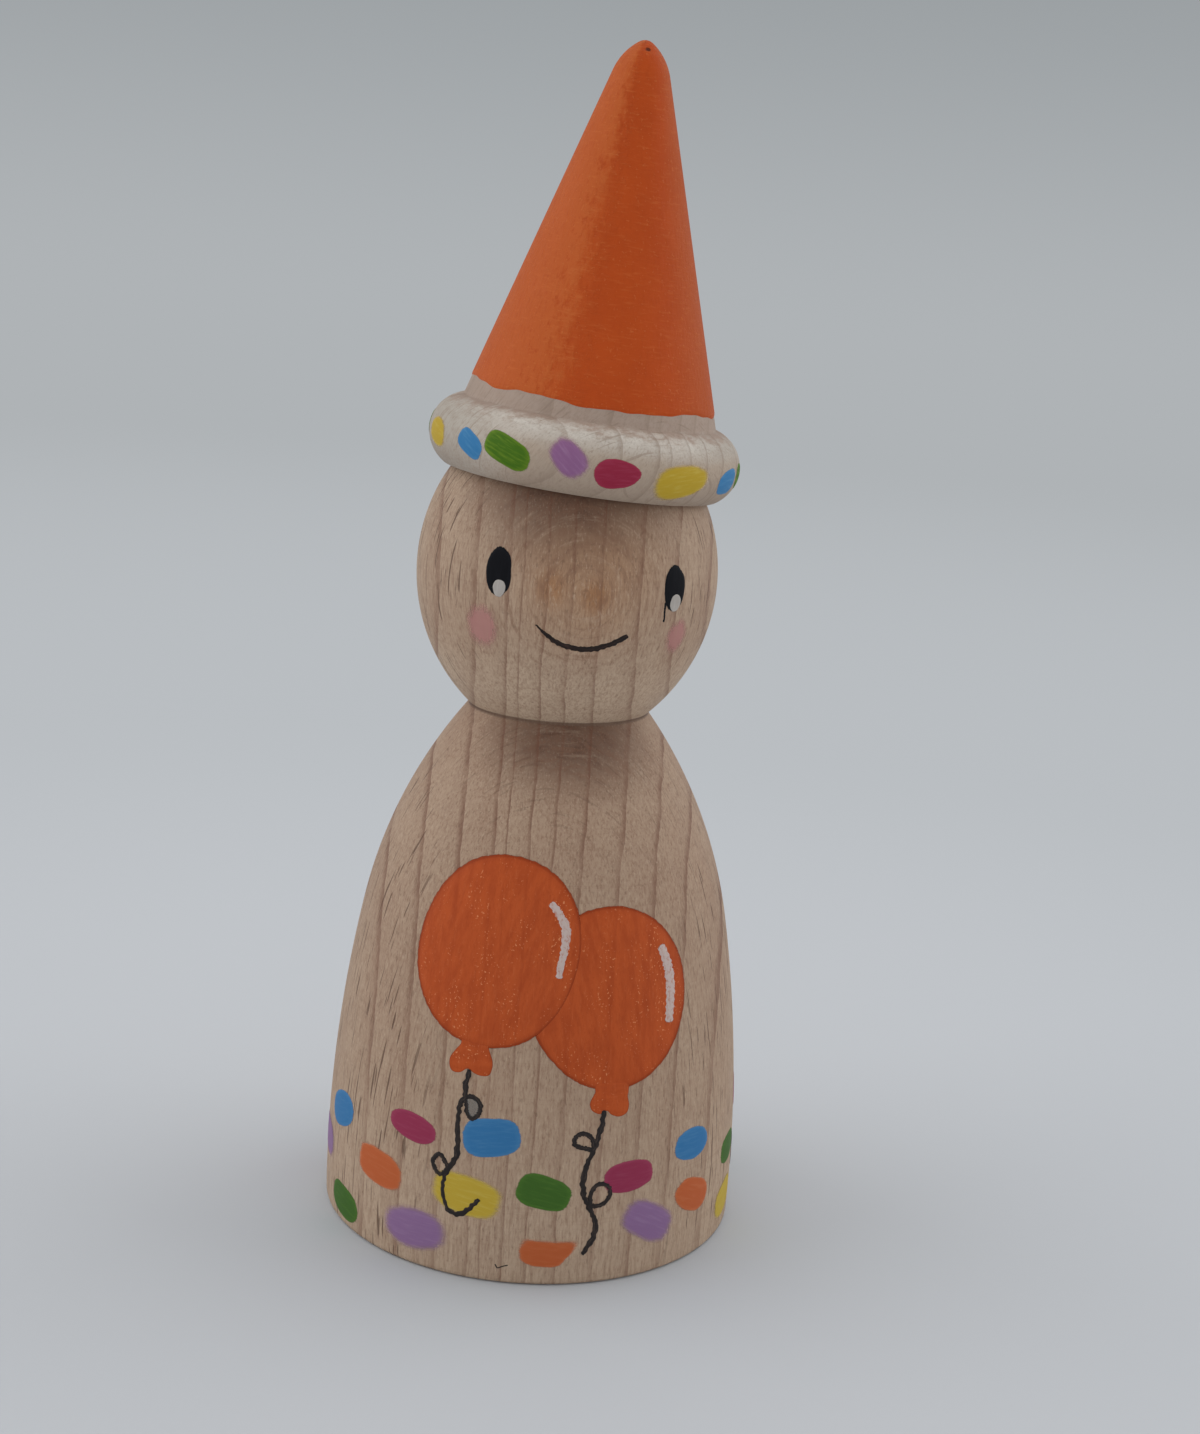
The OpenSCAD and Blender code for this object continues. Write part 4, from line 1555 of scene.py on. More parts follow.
@dataclass(frozen=True)
class Balloons:
    """Two overlapping balloons with knots, shines and curling strings, on the body.

    A film is the thickness of a patch of paint, or the height of a line's arch; the
    shines are as high as the curls. A base is the height of a line's foot above the
    wood. The left balloon's paint lies over the right one's.
    """

    peg: Peg
    knot_film: float = 0.05
    right_film: float = 0.03
    left_film: float = 0.08
    string_film: float = 0.035
    curl_film: float = 0.03
    string_base: float = 0.06
    left_shine_base: float = 0.08
    right_shine_base: float = 0.05
    smear_film: float = 0.07
    slip_film: float = 0.02
    left_bearing: float = -25.0
    right_bearing: float = 10.0
    left: Stroke = Stroke(
        -21.0, 30.34, 17.05, 15.06, 79.1, -0.04, 2.11, 0.004, fall=24.0, rings=40, spokes=160
    )
    right: Stroke = Stroke(14.8, 26.62, 16.48, 15.44, 100.1, 0.0, 2.01, 0.004, rings=40, spokes=160)
    string_width: tuple[float, ...] = (0.5, 0.56, 0.46, 0.6, 0.5, 0.46, 0.62, 0.5)
    curl_width: float = 0.46
    string_shake: float = 0.05
    curl_shake: float = 0.03
    smear_share: float = 0.9
    string_left: Path = (
        (0.1, 19.75), (-0.03, 18.8), (-0.13, 17.95), (-0.05, 17.15), (-0.46, 16.45), (-0.55, 15.5),
        (-0.53, 14.4), (-0.44, 13.2), (-0.36, 12.2), (-0.52, 11.3), (-0.96, 10.45), (-1.4, 9.45),
        (-1.53, 8.5), (-1.38, 7.5), (-1.08, 6.7), (-0.55, 6.2), (0.17, 6.15), (0.9, 6.6), (1.58, 7.35),
        (2.04, 7.95),
    )
    string_right: Path = (
        (0.84, 16.7), (0.78, 15.8), (0.58, 14.8), (0.28, 13.75), (-0.1, 12.65), (-0.5, 11.8),
        (-0.73, 10.8), (-0.82, 9.75), (-0.68, 8.85), (-0.4, 8.1), (0.03, 7.3), (0.41, 6.5), (0.64, 5.7),
        (0.52, 4.8), (0.14, 3.95), (-0.48, 3.0),
    )
    curls_left: tuple[Path, ...] = (
        (
            (0.0, 17.1), (0.63, 17.28), (1.3, 16.9), (1.45, 16.25), (1.2, 15.6), (0.75, 15.3),
            (0.3, 15.7), (0.12, 16.5),
        ),
        (
            (-2.7, 10.65), (-2.1, 11.4), (-1.55, 10.9), (-1.2, 10.25), (-1.82, 9.55), (-2.36, 9.85),
        ),
    )
    curls_right: tuple[Path, ...] = (
        (
            (-1.8, 13.7), (-1.7, 14.25), (-1.15, 14.6), (-0.5, 14.4), (-0.1, 13.9), (0.0, 13.05),
            (-0.74, 13.2), (-1.45, 13.4),
        ),
        (
            (0.02, 7.85), (0.0, 8.8), (0.42, 9.6), (1.17, 9.7), (1.72, 9.3), (1.83, 8.6), (1.43, 7.95),
            (0.7, 7.65),
        ),
    )
    left_shine: Line = Line(
        -3.0,
        (
            (-0.67, 35.1), (-0.18, 34.6), (0.39, 33.8), (0.79, 33.0), (0.84, 32.0), (0.74, 30.9),
            (0.49, 29.7), (0.4, 28.6),
        ),
        (0.8, 0.96, 1.08, 1.2, 1.16, 1.0, 0.88, 0.9),
        steps=8,
    )
    right_shine: Line = Line(
        33.0,
        (
            (-0.63, 31.0), (-0.22, 30.05), (0.13, 28.95), (0.3, 27.8), (0.29, 26.5), (0.17, 25.25),
            (0.0, 23.85),
        ),
        (1.0, 1.12, 1.25, 1.3, 1.26, 1.14, 1.18),
        steps=8,
    )
    slip: Line = Line(
        -0.5,
        (
            (-4.65, 1.85), (-4.42, 1.5), (-4.0, 1.68), (-3.5, 1.86),
        ),
        (0.13,),
    )
    left_knot: Patch = Patch(
        bearing=-24.4,
        height=20.7,
        length=4.0,
        width=4.0,
        rim_points=(
            (-1.1, 2.4), (-1.15, 1.3), (-1.6, 0.6), (-2.1, -0.25), (-2.05, -1.05), (-1.7, -1.45),
            (-1.0, -1.42), (-0.38, -0.98), (0.0, -1.05), (0.35, -1.25), (1.0, -1.4), (1.75, -1.25),
            (2.0, -0.55), (1.95, 0.1), (1.7, 0.7), (1.5, 1.3), (1.6, 2.2),
        ),
    )
    right_knot: Patch = Patch(
        bearing=14.2,
        height=17.3,
        length=4.0,
        width=4.0,
        rim_points=(
            (-1.25, 1.9), (-1.5, 1.05), (-1.85, 0.4), (-1.95, -0.1), (-1.7, -0.65), (-1.0, -0.98),
            (-0.5, -0.75), (-0.2, -0.77), (0.15, -1.12), (0.95, -1.38), (1.68, -1.08), (1.88, -0.35),
            (1.72, 0.45), (1.8, 1.0), (1.5, 1.8),
        ),
    )
    smear_ink: DabPaint = DabPaint("smear_ink", linear(136, 134, 130), linear(112, 108, 104), 0.55, 0.1)
    shine_paint: Ink = Ink("shine_paint", linear(198, 180, 174), linear(176, 108, 84), 0.9, 2.4)

    def string(self, bearing: float, path: Path, curls: tuple[Path, ...], seed: int) -> Mesh:
        """Draws a string and its curls.

        Args:
            bearing: Bearing from which the paths are drawn.
            path: Points that the string passes through.
            curls: Points that each curl beside it passes through.
            seed: Number that picks the string's sway; the curls' count up from it.

        Returns:
            All of it as one mesh.
        """
        string = Line(bearing, path, self.string_width, shake=self.string_shake, steps=6)
        parts = [string.mesh(self.peg, self.string_film, self.string_base, seed)]
        for i, points in enumerate(curls):
            curl = Line(bearing, points, (self.curl_width,), True, self.curl_shake, steps=8)
            parts.append(curl.mesh(self.peg, self.curl_film, self.string_base, seed + 1 + i))
        return joined(parts)

    def smear(self) -> Mesh:
        """Draws the greyish film of ink inside the upper curl of the left string.

        Returns:
            The mesh, whose rim is the curl drawn a little smaller.
        """
        curl = np.array(self.curls_left[0])
        middle = curl.mean(0)
        side = math.degrees(math.asin(middle[0] / float(self.peg.radius(middle[1]))))
        rim = tuple(map(tuple, (curl - middle) * self.smear_share))
        bearing = self.left_bearing + side
        patch = Patch(bearing, float(middle[1]), 2, 2, rim_points=rim, rings=6, spokes=48)
        return patch.mesh(self.peg, self.smear_film, Seed.SMEAR)

    def build(self) -> None:
        """Makes the balloons and what is drawn on them."""
        peg = self.peg
        self.smear().build("curl_smear", self.smear_ink.make(), Body.PEG, "black_paint")
        paint = BalloonPaint().make()
        knot = self.right_knot.mesh(peg, self.knot_film, Seed.RIGHT_KNOT)
        right = joined([self.right.mesh(peg, self.right_film, Seed.RIGHT_BALLOON), knot])
        right.build("balloon_right_painted", paint, Body.PEG, "orange_paint", "balloon_right")
        knot = self.left_knot.mesh(peg, self.knot_film, Seed.LEFT_KNOT)
        left = joined([self.left.mesh(peg, self.left_film, Seed.LEFT_BALLOON), knot])
        left.build("balloon_left_painted", paint, Body.PEG, "orange_paint", "balloon_left")
        shines = joined([
            self.left_shine.mesh(peg, self.curl_film, self.left_shine_base, Seed.LEFT_SHINE),
            self.right_shine.mesh(peg, self.curl_film, self.right_shine_base, Seed.RIGHT_SHINE),
        ])
        shines.build("shines_painted", self.shine_paint.make(), Body.PEG, "white_paint", "balloon_shines")
        ink = Ink().make()
        left = self.string(self.left_bearing, self.string_left, self.curls_left, Seed.LEFT_STRING)
        left.build("string_left_drawn", ink, Body.PEG, "black_paint", "string_left")
        right = self.string(self.right_bearing, self.string_right, self.curls_right, Seed.RIGHT_STRING)
        right = joined([right, self.slip.mesh(peg, self.slip_film, 0.0, Seed.SLIP)])
        right.build("string_right_drawn", ink, Body.PEG, "black_paint", "string_right")


@dataclass(frozen=True)
class DabSet:
    """Dabs of several colours on one surface, a piece for each colour.

    Attributes:
        skin: Surface that they lie on.
        body: Body that carries them.
        piece: Start of the pieces' names.
        finish: Start of the finishes' names.
        node: Start of the names of the solids that the pieces stand for.
        seed: Number from which the first colour's random draws count up.
        streaks: Strength of the streaks in the paint.
        paints: Thick and thin paint of each colour.
        film: Thickness of the film.
        ragged: How far bristles and blots push the rims about.
        gleam: How much of the wood's colour is added where the film thins out.
    """

    skin: Skin
    body: Body
    piece: str
    finish: str
    node: str
    seed: int
    streaks: float
    paints: dict[str, tuple[Colour, Colour]]
    film: float = 0.05
    ragged: float = 0.6
    gleam: float = 0.7

    def build(self, dabs: dict[str, list[Stroke]]) -> None:
        """Makes a piece for each colour.

        Args:
            dabs: The dabs of each colour.
        """
        for i, (name, strokes) in enumerate(dabs.items()):
            soft = [replace(s, soft=s.soft + SOFTNESS.get(name, 0.0)) for s in strokes]
            mesh = dabbed(soft, self.skin, self.film, self.seed + SEED_STEP * i)
            paint, thin = self.paints[name]
            finish = DabPaint(
                f"{self.finish}_{name}",
                paint,
                thin,
                streaks=self.streaks,
                ragged=self.ragged,
                gleam=self.gleam,
            )
            slot = f"{name}_paint"
            mesh.build(f"{self.piece}_{name}", finish.make(), self.body, slot, f"{self.node}_{name}")


@dataclass(frozen=True)
class Confetti:
    """The band of brushed dabs round the foot of the body."""

    peg: Peg
    cut_dab: Path = (
        (-2.6, 1.25), (-1.3, 1.4), (0.8, 1.4), (2.7, 1.5), (2.75, 0.7), (1.9, -0.4), (1.2, -1.25),
        (0.0, -1.45), (-1.6, -1.4), (-2.5, -0.9), (-2.8, 0.2),
    )

    def dabs(self) -> dict[str, list[Stroke]]:
        """The dabs of each colour; the one that the foot cuts off has its own outline.

        Returns:
            A list of dabs for each colour.
        """
        return {
            "blue": [
                Stroke(-72.2, 11.0, 5.7, 3.48, 16, 0, 2.4),
                Stroke(-17.2, 13.81, 5.58, 3.72, 9, -0.03, 2.8),
                Stroke(42.9, 11.58, 5.17, 3.27, -5, -0.05, 2.1),
                Stroke(122, 7.2, 5.58, 3.6, -12, 0.06, 2.6),
                Stroke(177, 11.04, 5.7, 3.6, 10, -0.05, 2.5), Stroke(239, 5.76, 5.4, 3.68, 22, 0, 2.4),
            ],
            "magenta": [
                Stroke(-40.1, 13.18, 5.55, 2.72, -6.4, 0, 2.2),
                Stroke(20.7, 10.13, 5.3, 3.1, 2.5, -0.03, 2.5),
                Stroke(83, 12.64, 5.52, 3.2, 14, -0.08, 2.4),
                Stroke(139, 10.4, 5.7, 3.2, -18, -0.06, 2.5),
                Stroke(196, 6.56, 5.4, 3.28, -10, -0.08, 2.3), Stroke(258, 3.44, 5.7, 3.2, 12, 0.08, 2.5),
            ],
            "orange": [
                Stroke(-50.7, 8.07, 6.09, 3.43, -5.7, -0.03, 2.9, soft=0.04),
                Patch(-0.5, 3.2, 5.4, 2.9, -4, soft_top=0.3, rim_points=self.cut_dab),
                Stroke(44, 6.44, 5.5, 3.32, -21, 0.04, 2.3),
                Stroke(100, 9.6, 5.58, 3.52, -20, -0.08, 2.5),
                Stroke(141, 3.84, 5.7, 3.28, 6, 0.06, 2.6), Stroke(198, 13.12, 5.4, 3.6, 25, -0.06, 2.3),
                Stroke(256, 9.76, 5.7, 3.52, -30, 0.04, 2.5),
            ],
            "green": [
                Stroke(-66.8, 2.32, 5.8, 3.33, -4.5, -0.05, 2.5),
                Stroke(-2.5, 9.03, 5.22, 3.26, -14.7, -0.07, 3.0),
                Stroke(67.5, 8.3, 5.3, 3.04, 0, -0.05, 2.4), Stroke(104, 3.44, 5.4, 3.6, -14, 0, 2.6),
                Stroke(160, 7.28, 5.28, 3.4, 16, 0.08, 2.4),
                Stroke(236, 12.64, 5.4, 3.52, -16, -0.04, 2.5),
            ],
            "lilac": [
                Stroke(-84.5, 6.64, 5.22, 3.44, -8, 0, 2.4), Stroke(-37.4, 3.6, 6.65, 3.92, 3, 0, 2.3),
                Stroke(27.5, 5.34, 5.99, 3.51, -29.7, 0.02, 2.7),
                Stroke(84.5, 5.92, 5.7, 3.68, -8, -0.04, 2.5),
                Stroke(158, 12.8, 5.7, 3.52, -22, 0, 2.4), Stroke(217, 9.36, 6.0, 3.68, 12, -0.05, 2.5),
            ],
            "yellow": [
                Stroke(-22.9, 8.06, 6.54, 3.89, -9.4, 0, 2.7), Stroke(65.5, 3.3, 5.4, 3.6, 8, 0.06, 2.4),
                Stroke(119, 12.96, 5.58, 3.6, 10, 0, 2.5), Stroke(178, 3.6, 6.0, 3.6, -12, 0.05, 2.6),
                Stroke(219, 3.28, 5.7, 3.52, 18, 0, 2.4),
            ],
        }

    def build(self) -> None:
        """Makes the dabs of each colour."""
        paints = {
            "blue": (linear(53, 112, 162), linear(84, 134, 174)),
            "magenta": (linear(142, 50, 78), linear(156, 74, 98)),
            "orange": (linear(181, 92, 52), linear(192, 114, 76)),
            "green": (linear(62, 98, 38), linear(88, 126, 52)),
            "lilac": (linear(136, 104, 143), linear(156, 130, 162)),
            "yellow": (linear(185, 158, 57), linear(200, 182, 98)),
        }
        band = DabSet(self.peg, Body.PEG, "dabs", "dab", "confetti", Seed.CONFETTI, 0.35, paints)
        band.build(self.dabs())


# The hat.


@dataclass
class Hat(Skin):
    """The turned hat: a rolled brim, a groove and a tall cone, leaning on the crown.

    Heights of the section are counted from the plane under the brim. The rim of the
    cone's paint wavers by the rim_waves: waves round the cone, their start and their size.
    """

    brim_r: float = 14.45
    brim_h: float = 6.3
    brim_mid_h: float = 2.9
    seat_h: float = 7.3
    groove_r: float = 11.72
    cone_h: float = 30.0
    tip_r: float = 2.5
    tip_arc_r: float = 5.0
    nose_r: float = 1.0
    lean: float = 5.0
    lean_side: float = 68.0
    crown_z: float = 64.0
    socket_r: float = 13.916
    film: float = 0.09
    columns: int = 256
    paint_rows: int = 190
    line_points: int = 400
    tuck: float = 0.03
    rim_ease: float = 0.35
    socket_points: int = 60
    roll_points: int = 90
    cone_points: int = 120
    tip_points: int = 60
    nose_points: int = 24
    rim_waves: tuple[Triple, ...] = ((9, 1, 0.05), (17, 2, 0.04), (31, 0, 0.025))
    paint_edge: Path = (
        (-180, 7.6), (-150, 7.75), (-120, 7.9), (-80, 8.05), (-57, 7.6), (-43, 7.76), (-31, 7.76),
        (-20, 7.62), (-10, 7.42), (0, 7.42), (10, 7.45), (20, 7.53), (33, 7.67), (49, 7.8), (68, 7.5),
        (95, 7.7), (130, 7.45), (180, 7.6),
    )

    def __post_init__(self) -> None:
        """Works out the arcs of the section."""
        inward = self.brim_r - self.groove_r
        rise = self.brim_h - self.brim_mid_h
        self.roll_r = (inward**2 + rise**2) / (2 * inward)
        self.roll_c = (self.brim_r - self.roll_r, self.brim_mid_h)
        self.flank = math.degrees(math.atan2(self.groove_r - self.tip_r, self.cone_h))
        a = math.radians(self.flank)
        tip_z = self.brim_h + self.cone_h
        self.tip_c = (self.tip_r - self.tip_arc_r * math.cos(a), tip_z - self.tip_arc_r * math.sin(a))
        self.nose_z = self.tip_c[1] + math.sqrt((self.tip_arc_r - self.nose_r) ** 2 - self.tip_c[0] ** 2)
        self.nose = math.degrees(math.atan2(self.nose_z - self.tip_c[1], -self.tip_c[0]))
        axis = Vector((math.cos(math.radians(self.lean_side)), math.sin(math.radians(self.lean_side)), 0))
        seat = Matrix.Translation((0, 0, self.crown_z)) @ Matrix.Rotation(math.radians(self.lean), 4, axis)
        self.seat = np.array(seat @ Matrix.Translation((0, 0, self.seat_h)))

    def place(self, points: Array) -> Array:
        """Moves points from the hat's own frame to its seat on the crown."""
        return points @ self.seat[:3, :3].T + self.seat[:3, 3]

    def radius(self, height: Array) -> Array:
        """Radius of the brim's roll at a height above its underside."""
        return arc_radius(self.roll_c, self.roll_r, height)

    def outside(self, grow: float) -> Array:
        """Flank, tip and nose of the cone from the groove up.

        Args:
            grow: How far outside the wood the line runs.

        Returns:
            Points (r, z).
        """
        a = math.radians(self.flank)
        foot = np.array([[self.groove_r + grow / math.cos(a), self.brim_h]])
        tip = arc(self.tip_c, self.tip_arc_r + grow, self.flank, self.nose, self.tip_points)
        nose = arc((0.0, self.nose_z), self.nose_r + grow, self.nose, 90, self.nose_points)
        return np.concatenate([foot, tip, nose[1:-1], [[0.0, self.nose_z + self.nose_r + grow]]])

    def wood(self) -> Mesh:
        """The wooden hat, from the socket's pole out under the brim and up to the tip.

        Returns:
            The mesh with "own_place": each point in the hat's own frame.
        """
        low = math.degrees(math.asin(-self.brim_mid_h / self.roll_r))
        high = math.degrees(math.asin((self.brim_h - self.brim_mid_h) / self.roll_r))
        mouth = math.degrees(math.asin(self.seat_h / self.socket_r))
        socket = arc((0.0, -self.seat_h), self.socket_r, 90, mouth, self.socket_points)
        socket[0, 0] = 0.0
        profile = np.concatenate([
            socket,
            arc(self.roll_c, self.roll_r, low, high, self.roll_points),
            even(self.outside(0.0), self.cone_points)[1:],
        ])
        mesh = revolve(profile, self.columns)
        mesh.attributes["own_place"] = mesh.points
        mesh.points = self.place(mesh.points)
        return mesh

    def paint(self) -> Mesh:
        """The cone's film of paint, whose lower rim wavers with the bearing.

        Each column runs at even steps up the outside line grown by the film, from the
        rim's height at its bearing to the tip, and its lowest two rows close in on the
        wood.

        Returns:
            The mesh with "own_place": each point in the hat's own frame.
        """
        t = np.linspace(0, 2 * np.pi, self.columns, endpoint=False)
        bearings, heights = np.array(self.paint_edge).T
        rim = np.interp((np.degrees(t) + 180) % 360 - 180, bearings, heights)
        rim = rim + sum(size * np.sin(t * count + start) for count, start, size in self.rim_waves)
        line = even(self.outside(self.film), self.line_points)
        way = np.linspace(0, 1, self.line_points)
        low = np.interp(rim, line[:, 1], way)
        at = low[None] + (1 - low[None]) * np.linspace(0, 1, self.paint_rows)[:, None]
        r = np.interp(at, way, line[:, 0])
        z = np.interp(at, way, line[:, 1])
        r[0] -= self.film + self.tuck
        r[1] -= self.film * self.rim_ease
        grid = np.stack([r * np.sin(t), -r * np.cos(t), z], 2)[:-1]
        points = np.concatenate([grid.reshape(-1, 3), [[0, 0, line[-1, 1]]]])
        index = np.arange(len(points) - 1).reshape(-1, self.columns)
        tip = np.full(self.columns, len(points) - 1)
        faces = [round_faces(index), np.stack([index[-1], np.roll(index[-1], -1), tip], 1)]
        return Mesh(self.place(points), faces, {"own_place": points})

    def dabs(self) -> dict[str, list[Stroke]]:
        """The dabs round the brim, in the hat's own frame.

        Returns:
            A list of dabs for each colour.
        """
        return {
            "yellow": [
                Stroke(-75.4, 2.89, 4.0, 2.52, -9, 0, 2.2),
                Stroke(30.9, 2.33, 5.93, 3.02, 10.7, -0.16, 2.4),
                Stroke(135, 2.58, 4.86, 2.79, -14, 0, 2.5),
            ],
            "blue": [
                Stroke(-51.9, 2.76, 3.35, 2.18, -26.8, 0.03, 2.9),
                Stroke(58.2, 2.36, 3.9, 2.42, 6, 0.15, 2.7),
                Stroke(156, 3.02, 3.78, 2.64, 34, -0.06, 2.4),
                Stroke(241, 2.96, 3.89, 2.48, -30, 0.04, 2.3),
            ],
            "green": [
                Stroke(-35.3, 2.86, 5.0, 2.63, -18.2, 0, 2.9), Stroke(75, 2.65, 3.9, 2.48, -6, 0, 2.4),
                Stroke(178, 2.52, 4.75, 2.95, 12, 0, 2.5), Stroke(259, 2.77, 4.59, 2.79, 24, -0.04, 2.5),
            ],
            "lilac": [
                Stroke(-12.7, 3.23, 3.7, 2.66, -40.5, 0.09, 2.5),
                Stroke(113, 2.96, 4.05, 2.95, 28, 0, 2.4),
                Stroke(221, 2.65, 4.21, 2.79, 16, 0.04, 2.5),
            ],
            "magenta": [
                Stroke(5.0, 2.46, 4.31, 2.72, 5, -0.2, 2.1), Stroke(94, 2.71, 4.32, 2.79, -18, 0, 2.5),
                Stroke(200, 2.9, 4.43, 2.85, -12, 0.05, 2.4),
            ],
        }

    def build(self) -> None:
        """Makes the wooden hat, its paint and the brim's dabs, whose paint is brighter than the body's."""
        self.wood().build("hat_beech", WashedBeech().make(), Body.HAT, "hat_wood", "hat")
        self.paint().build("cone_painted", HatPaint().make(), Body.HAT, "orange_paint", "cone_paint")
        paints = {
            "yellow": (linear(178, 149, 46), linear(192, 170, 82)),
            "blue": (linear(54, 116, 164), linear(84, 138, 176)),
            "green": (linear(66, 104, 22), linear(128, 152, 44)),
            "lilac": (linear(136, 93, 132), linear(156, 120, 152)),
            "magenta": (linear(142, 38, 62), linear(154, 58, 82)),
        }
        DabSet(self, Body.HAT, "brim", "brim", "brim_dabs", Seed.BRIM, 0.6, paints).build(self.dabs())


# The studio.


@dataclass(frozen=True)
class Lamp:
    """A broad, far lamp.

    Attributes:
        name: Name of the lamp.
        bearing: Side that it shines from, as a bearing in degrees.
        height: Angle above the floor in degrees.
        strength: Strength of the light.
        spread: Width of the lamp as seen from the doll, in degrees.
    """

    name: str
    bearing: float
    height: float
    strength: float
    spread: float

    def build(self) -> None:
        """Hangs the lamp."""
        data = bpy.data.lights.new(self.name, "SUN")
        data.energy = self.strength
        data.angle = math.radians(self.spread)
        lamp = bpy.data.objects.new(self.name, data)
        a = math.radians(self.bearing)
        e = math.radians(self.height)
        towards = Vector((math.sin(a) * math.cos(e), -math.cos(a) * math.cos(e), math.sin(e)))
        lamp.rotation_euler = towards.to_track_quat("Z", "Y").to_euler()
        bpy.context.scene.collection.objects.link(lamp)


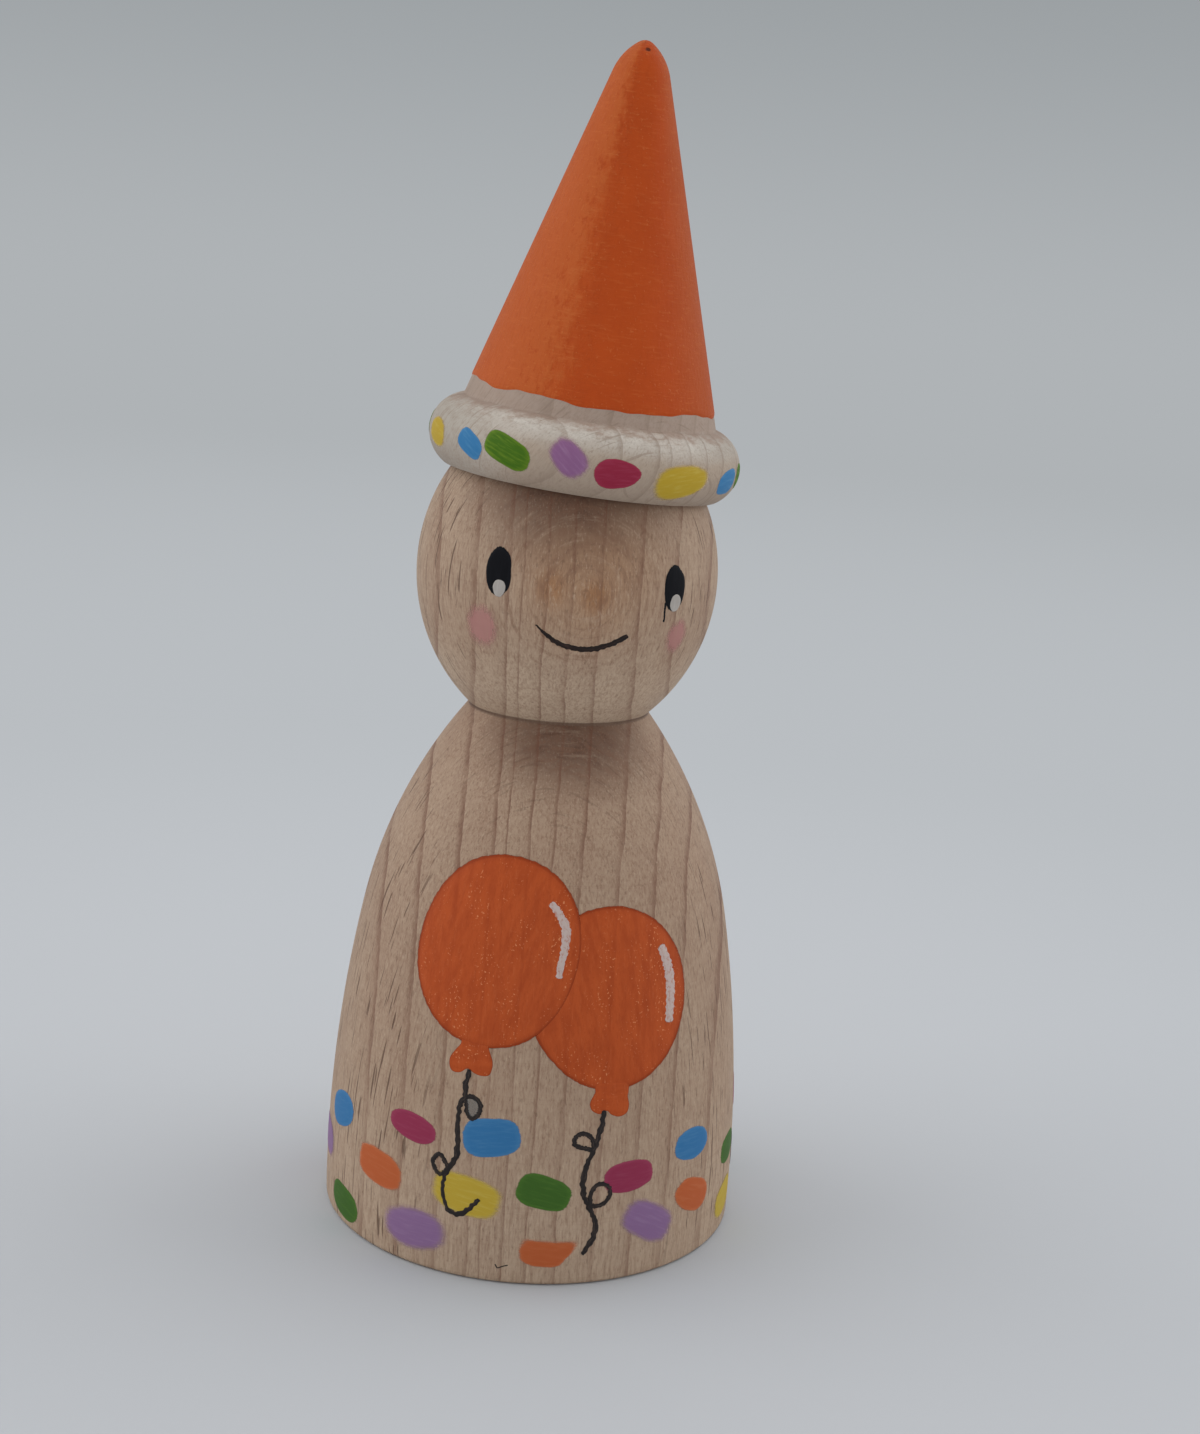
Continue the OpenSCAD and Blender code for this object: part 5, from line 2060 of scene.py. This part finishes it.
@dataclass(frozen=True)
class Studio:
    """Pale floor, soft light and the camera.

    Attributes:
        camera_place: Place of the camera in millimetres.
        heading: Bearing that it looks along, from +Y towards +X, in degrees.
        pitch: How far it looks down, in degrees.
        roll: How far it is turned about the line of sight, in degrees.
        focal_px: Focal length in pixels of the photograph.
        image_h: Height of the photograph in pixels.
        sensor: Longer side of the camera's sensor in millimetres.
        clip: Nearest and farthest that the camera sees, in metres.
        floor_card: Colour of the floor near the doll.
        floor_near: Colour that the glowing floor shows near the doll.
        floor_far: Colour that it shows far away, as does the foot of the backdrop.
        sky_top: Colour of the top of the backdrop.
        daylight: Colour of the light all round.
        light_level: Strength of the light all round.
        dim_way: Direction, in front and above, from which less of it comes.
        dim_share: Share that is missing there.
        bounce: How much brighter than it shows the far floor lights the doll.
        dim_power: Power with which the light falls off towards that direction.
        floor_reach: Radii of the floor's first and last ring.
        floor_rings: Number of its rings.
        floor_columns: Number of its columns.
        floor_drop: How far it lies under the doll's base.
        floor_fade: Radii between which the glow turns from the near colour to the far one.
        glow_fade: Radii between which the floor turns from card to glow.
        sky_fade: Heights, as sines, between which the backdrop turns to its top's colour.
        lamps: The lamps.
    """

    camera_place: Triple = (-22.73, -185.12, 88.65)
    heading: float = 8.2335
    pitch: float = 12.069
    roll: float = 4.0267
    focal_px: float = 2000.28
    image_h: int = 1434
    floor_card: Colour = linear(187, 190, 194)
    floor_near: Colour = linear(186, 190, 194)
    floor_far: Colour = linear(175, 179, 182)
    sky_top: Colour = linear(152, 157, 160)
    daylight: Colour = (0.98, 0.99, 1.0, 1.0)
    light_level: float = 0.92
    dim_way: Triple = (0.0, -0.75, 0.66)
    dim_share: float = 0.7
    bounce: float = 1.7
    sensor: float = 36.0
    clip: Span = (0.005, 50.0)
    dim_power: float = 3.0
    floor_reach: Span = (30, 6000)
    floor_rings: int = 40
    floor_columns: int = 96
    floor_drop: float = 0.02
    floor_fade: Span = (120, 1000)
    glow_fade: Span = (50, 220)
    sky_fade: Span = (-0.02, 0.2)
    lamps: tuple[Lamp, ...] = (
        Lamp("left_window", -98, 30, 0.76, 60),
        Lamp("right_window", 102, 30, 0.74, 60),
        Lamp("ceiling", 170, 66, 0.3, 80),
        Lamp("front_fill", -7, 3, 0.54, 50),
    )

    def camera(self) -> None:
        """Places the camera by its heading, pitch and roll."""
        data = bpy.data.cameras.new("camera")
        data.sensor_width = self.sensor
        data.lens = self.focal_px * self.sensor / self.image_h
        data.clip_start, data.clip_end = self.clip
        h, p, r = (math.radians(a) for a in (self.heading, self.pitch, self.roll))
        ahead = Vector((math.sin(h) * math.cos(p), math.cos(h) * math.cos(p), -math.sin(p)))
        right = Vector((math.cos(h), -math.sin(h), 0))
        up = right.cross(ahead)
        across = right * math.cos(r) + up * math.sin(r)
        above = up * math.cos(r) - right * math.sin(r)
        turn = Matrix((across, above, -ahead)).transposed().to_4x4()
        camera = bpy.data.objects.new("camera", data)
        camera.matrix_world = Matrix.Translation(Vector(self.camera_place) * MM) @ turn
        bpy.context.scene.collection.objects.link(camera)
        bpy.context.scene.camera = camera

    def seen(self, graph: Graph) -> Term:
        """Tells what the camera sees from the light that spreads.

        Args:
            graph: Material or world that the nodes go in.

        Returns:
            1 where the camera looks, also by way of gloss or glass, and 0 for other light.
        """
        kinds = ("Camera", "Transmission", "Glossy")
        first, second, third = (graph.node("ShaderNodeLightPath", output=f"Is {k} Ray") for k in kinds)
        return first.larger(second).larger(third)

    def floor(self) -> None:
        """Makes a wide round floor that fades into the backdrop's colour far away."""
        rings = np.concatenate([[0.0], np.geomspace(*self.floor_reach, self.floor_rings)])
        mesh = revolve(np.stack([rings, np.full_like(rings, -self.floor_drop)], 1), self.floor_columns)
        flat = bpy.data.meshes.new("floor")
        flat.from_pydata((mesh.points * MM).tolist(), [], [f[::-1].tolist() for g in mesh.faces for f in g])
        floor = bpy.data.objects.new("floor", flat)
        bpy.context.scene.collection.objects.link(floor)
        graph = Graph(bpy.data.materials.new("floor_card"))
        away = graph.length(graph.scaled(graph.millimetres(), (1.0, 1.0, 0.0)))
        shader = graph.node("ShaderNodeBsdfDiffuse", None, {"Color": self.floor_card})
        far = graph.blend(away.step(*self.floor_fade), self.floor_near, self.floor_far)
        shown = graph.node("ShaderNodeEmission", None, {"Color": far, "Strength": 1.0})
        lent = graph.node("ShaderNodeEmission", None, {"Color": far, "Strength": self.bounce})
        glow = graph.mixed(self.seen(graph), lent, shown)
        graph.surface(graph.mixed(away.step(*self.glow_fade), shader, glow))
        flat.materials.append(graph.owner)

    def world(self) -> None:
        """Lights all round with a plain pale sky, which shows behind the doll as the backdrop."""
        world = bpy.data.worlds.new("studio")
        bpy.context.scene.world = world
        graph = Graph(world)
        way = graph.node("ShaderNodeTexCoord", output="Generated")
        rise = graph.along(way, (0.0, 0.0, 1.0)).step(*self.sky_fade)
        sky = graph.blend(rise, self.floor_far, self.sky_top)
        shown = graph.node("ShaderNodeBackground", None, {"Color": sky})
        front = graph.along(way, self.dim_way).larger(0.0) ** self.dim_power
        levels = (self.light_level, self.light_level * (1 - self.dim_share))
        bright, dim = (
            graph.node("ShaderNodeBackground", None, {"Color": self.daylight, "Strength": level})
            for level in levels
        )
        light = graph.mixed(front, bright, dim)
        graph.surface(graph.mixed(self.seen(graph), light, shown), "ShaderNodeOutputWorld")

    def build(self) -> None:
        """Sets up the camera, the floor and the lights."""
        bpy.context.scene.view_settings.view_transform = "Standard"
        self.camera()
        self.floor()
        self.world()
        for lamp in self.lamps:
            lamp.build()


def main() -> None:
    """Builds the doll and the studio round it."""
    logging.basicConfig(level=logging.INFO, format="%(message)s")
    peg = Peg()
    peg.build()
    Face(peg).build()
    Balloons(peg).build()
    Confetti(peg).build()
    Hat().build()
    Studio().build()


if __name__ == "__main__":
    main()
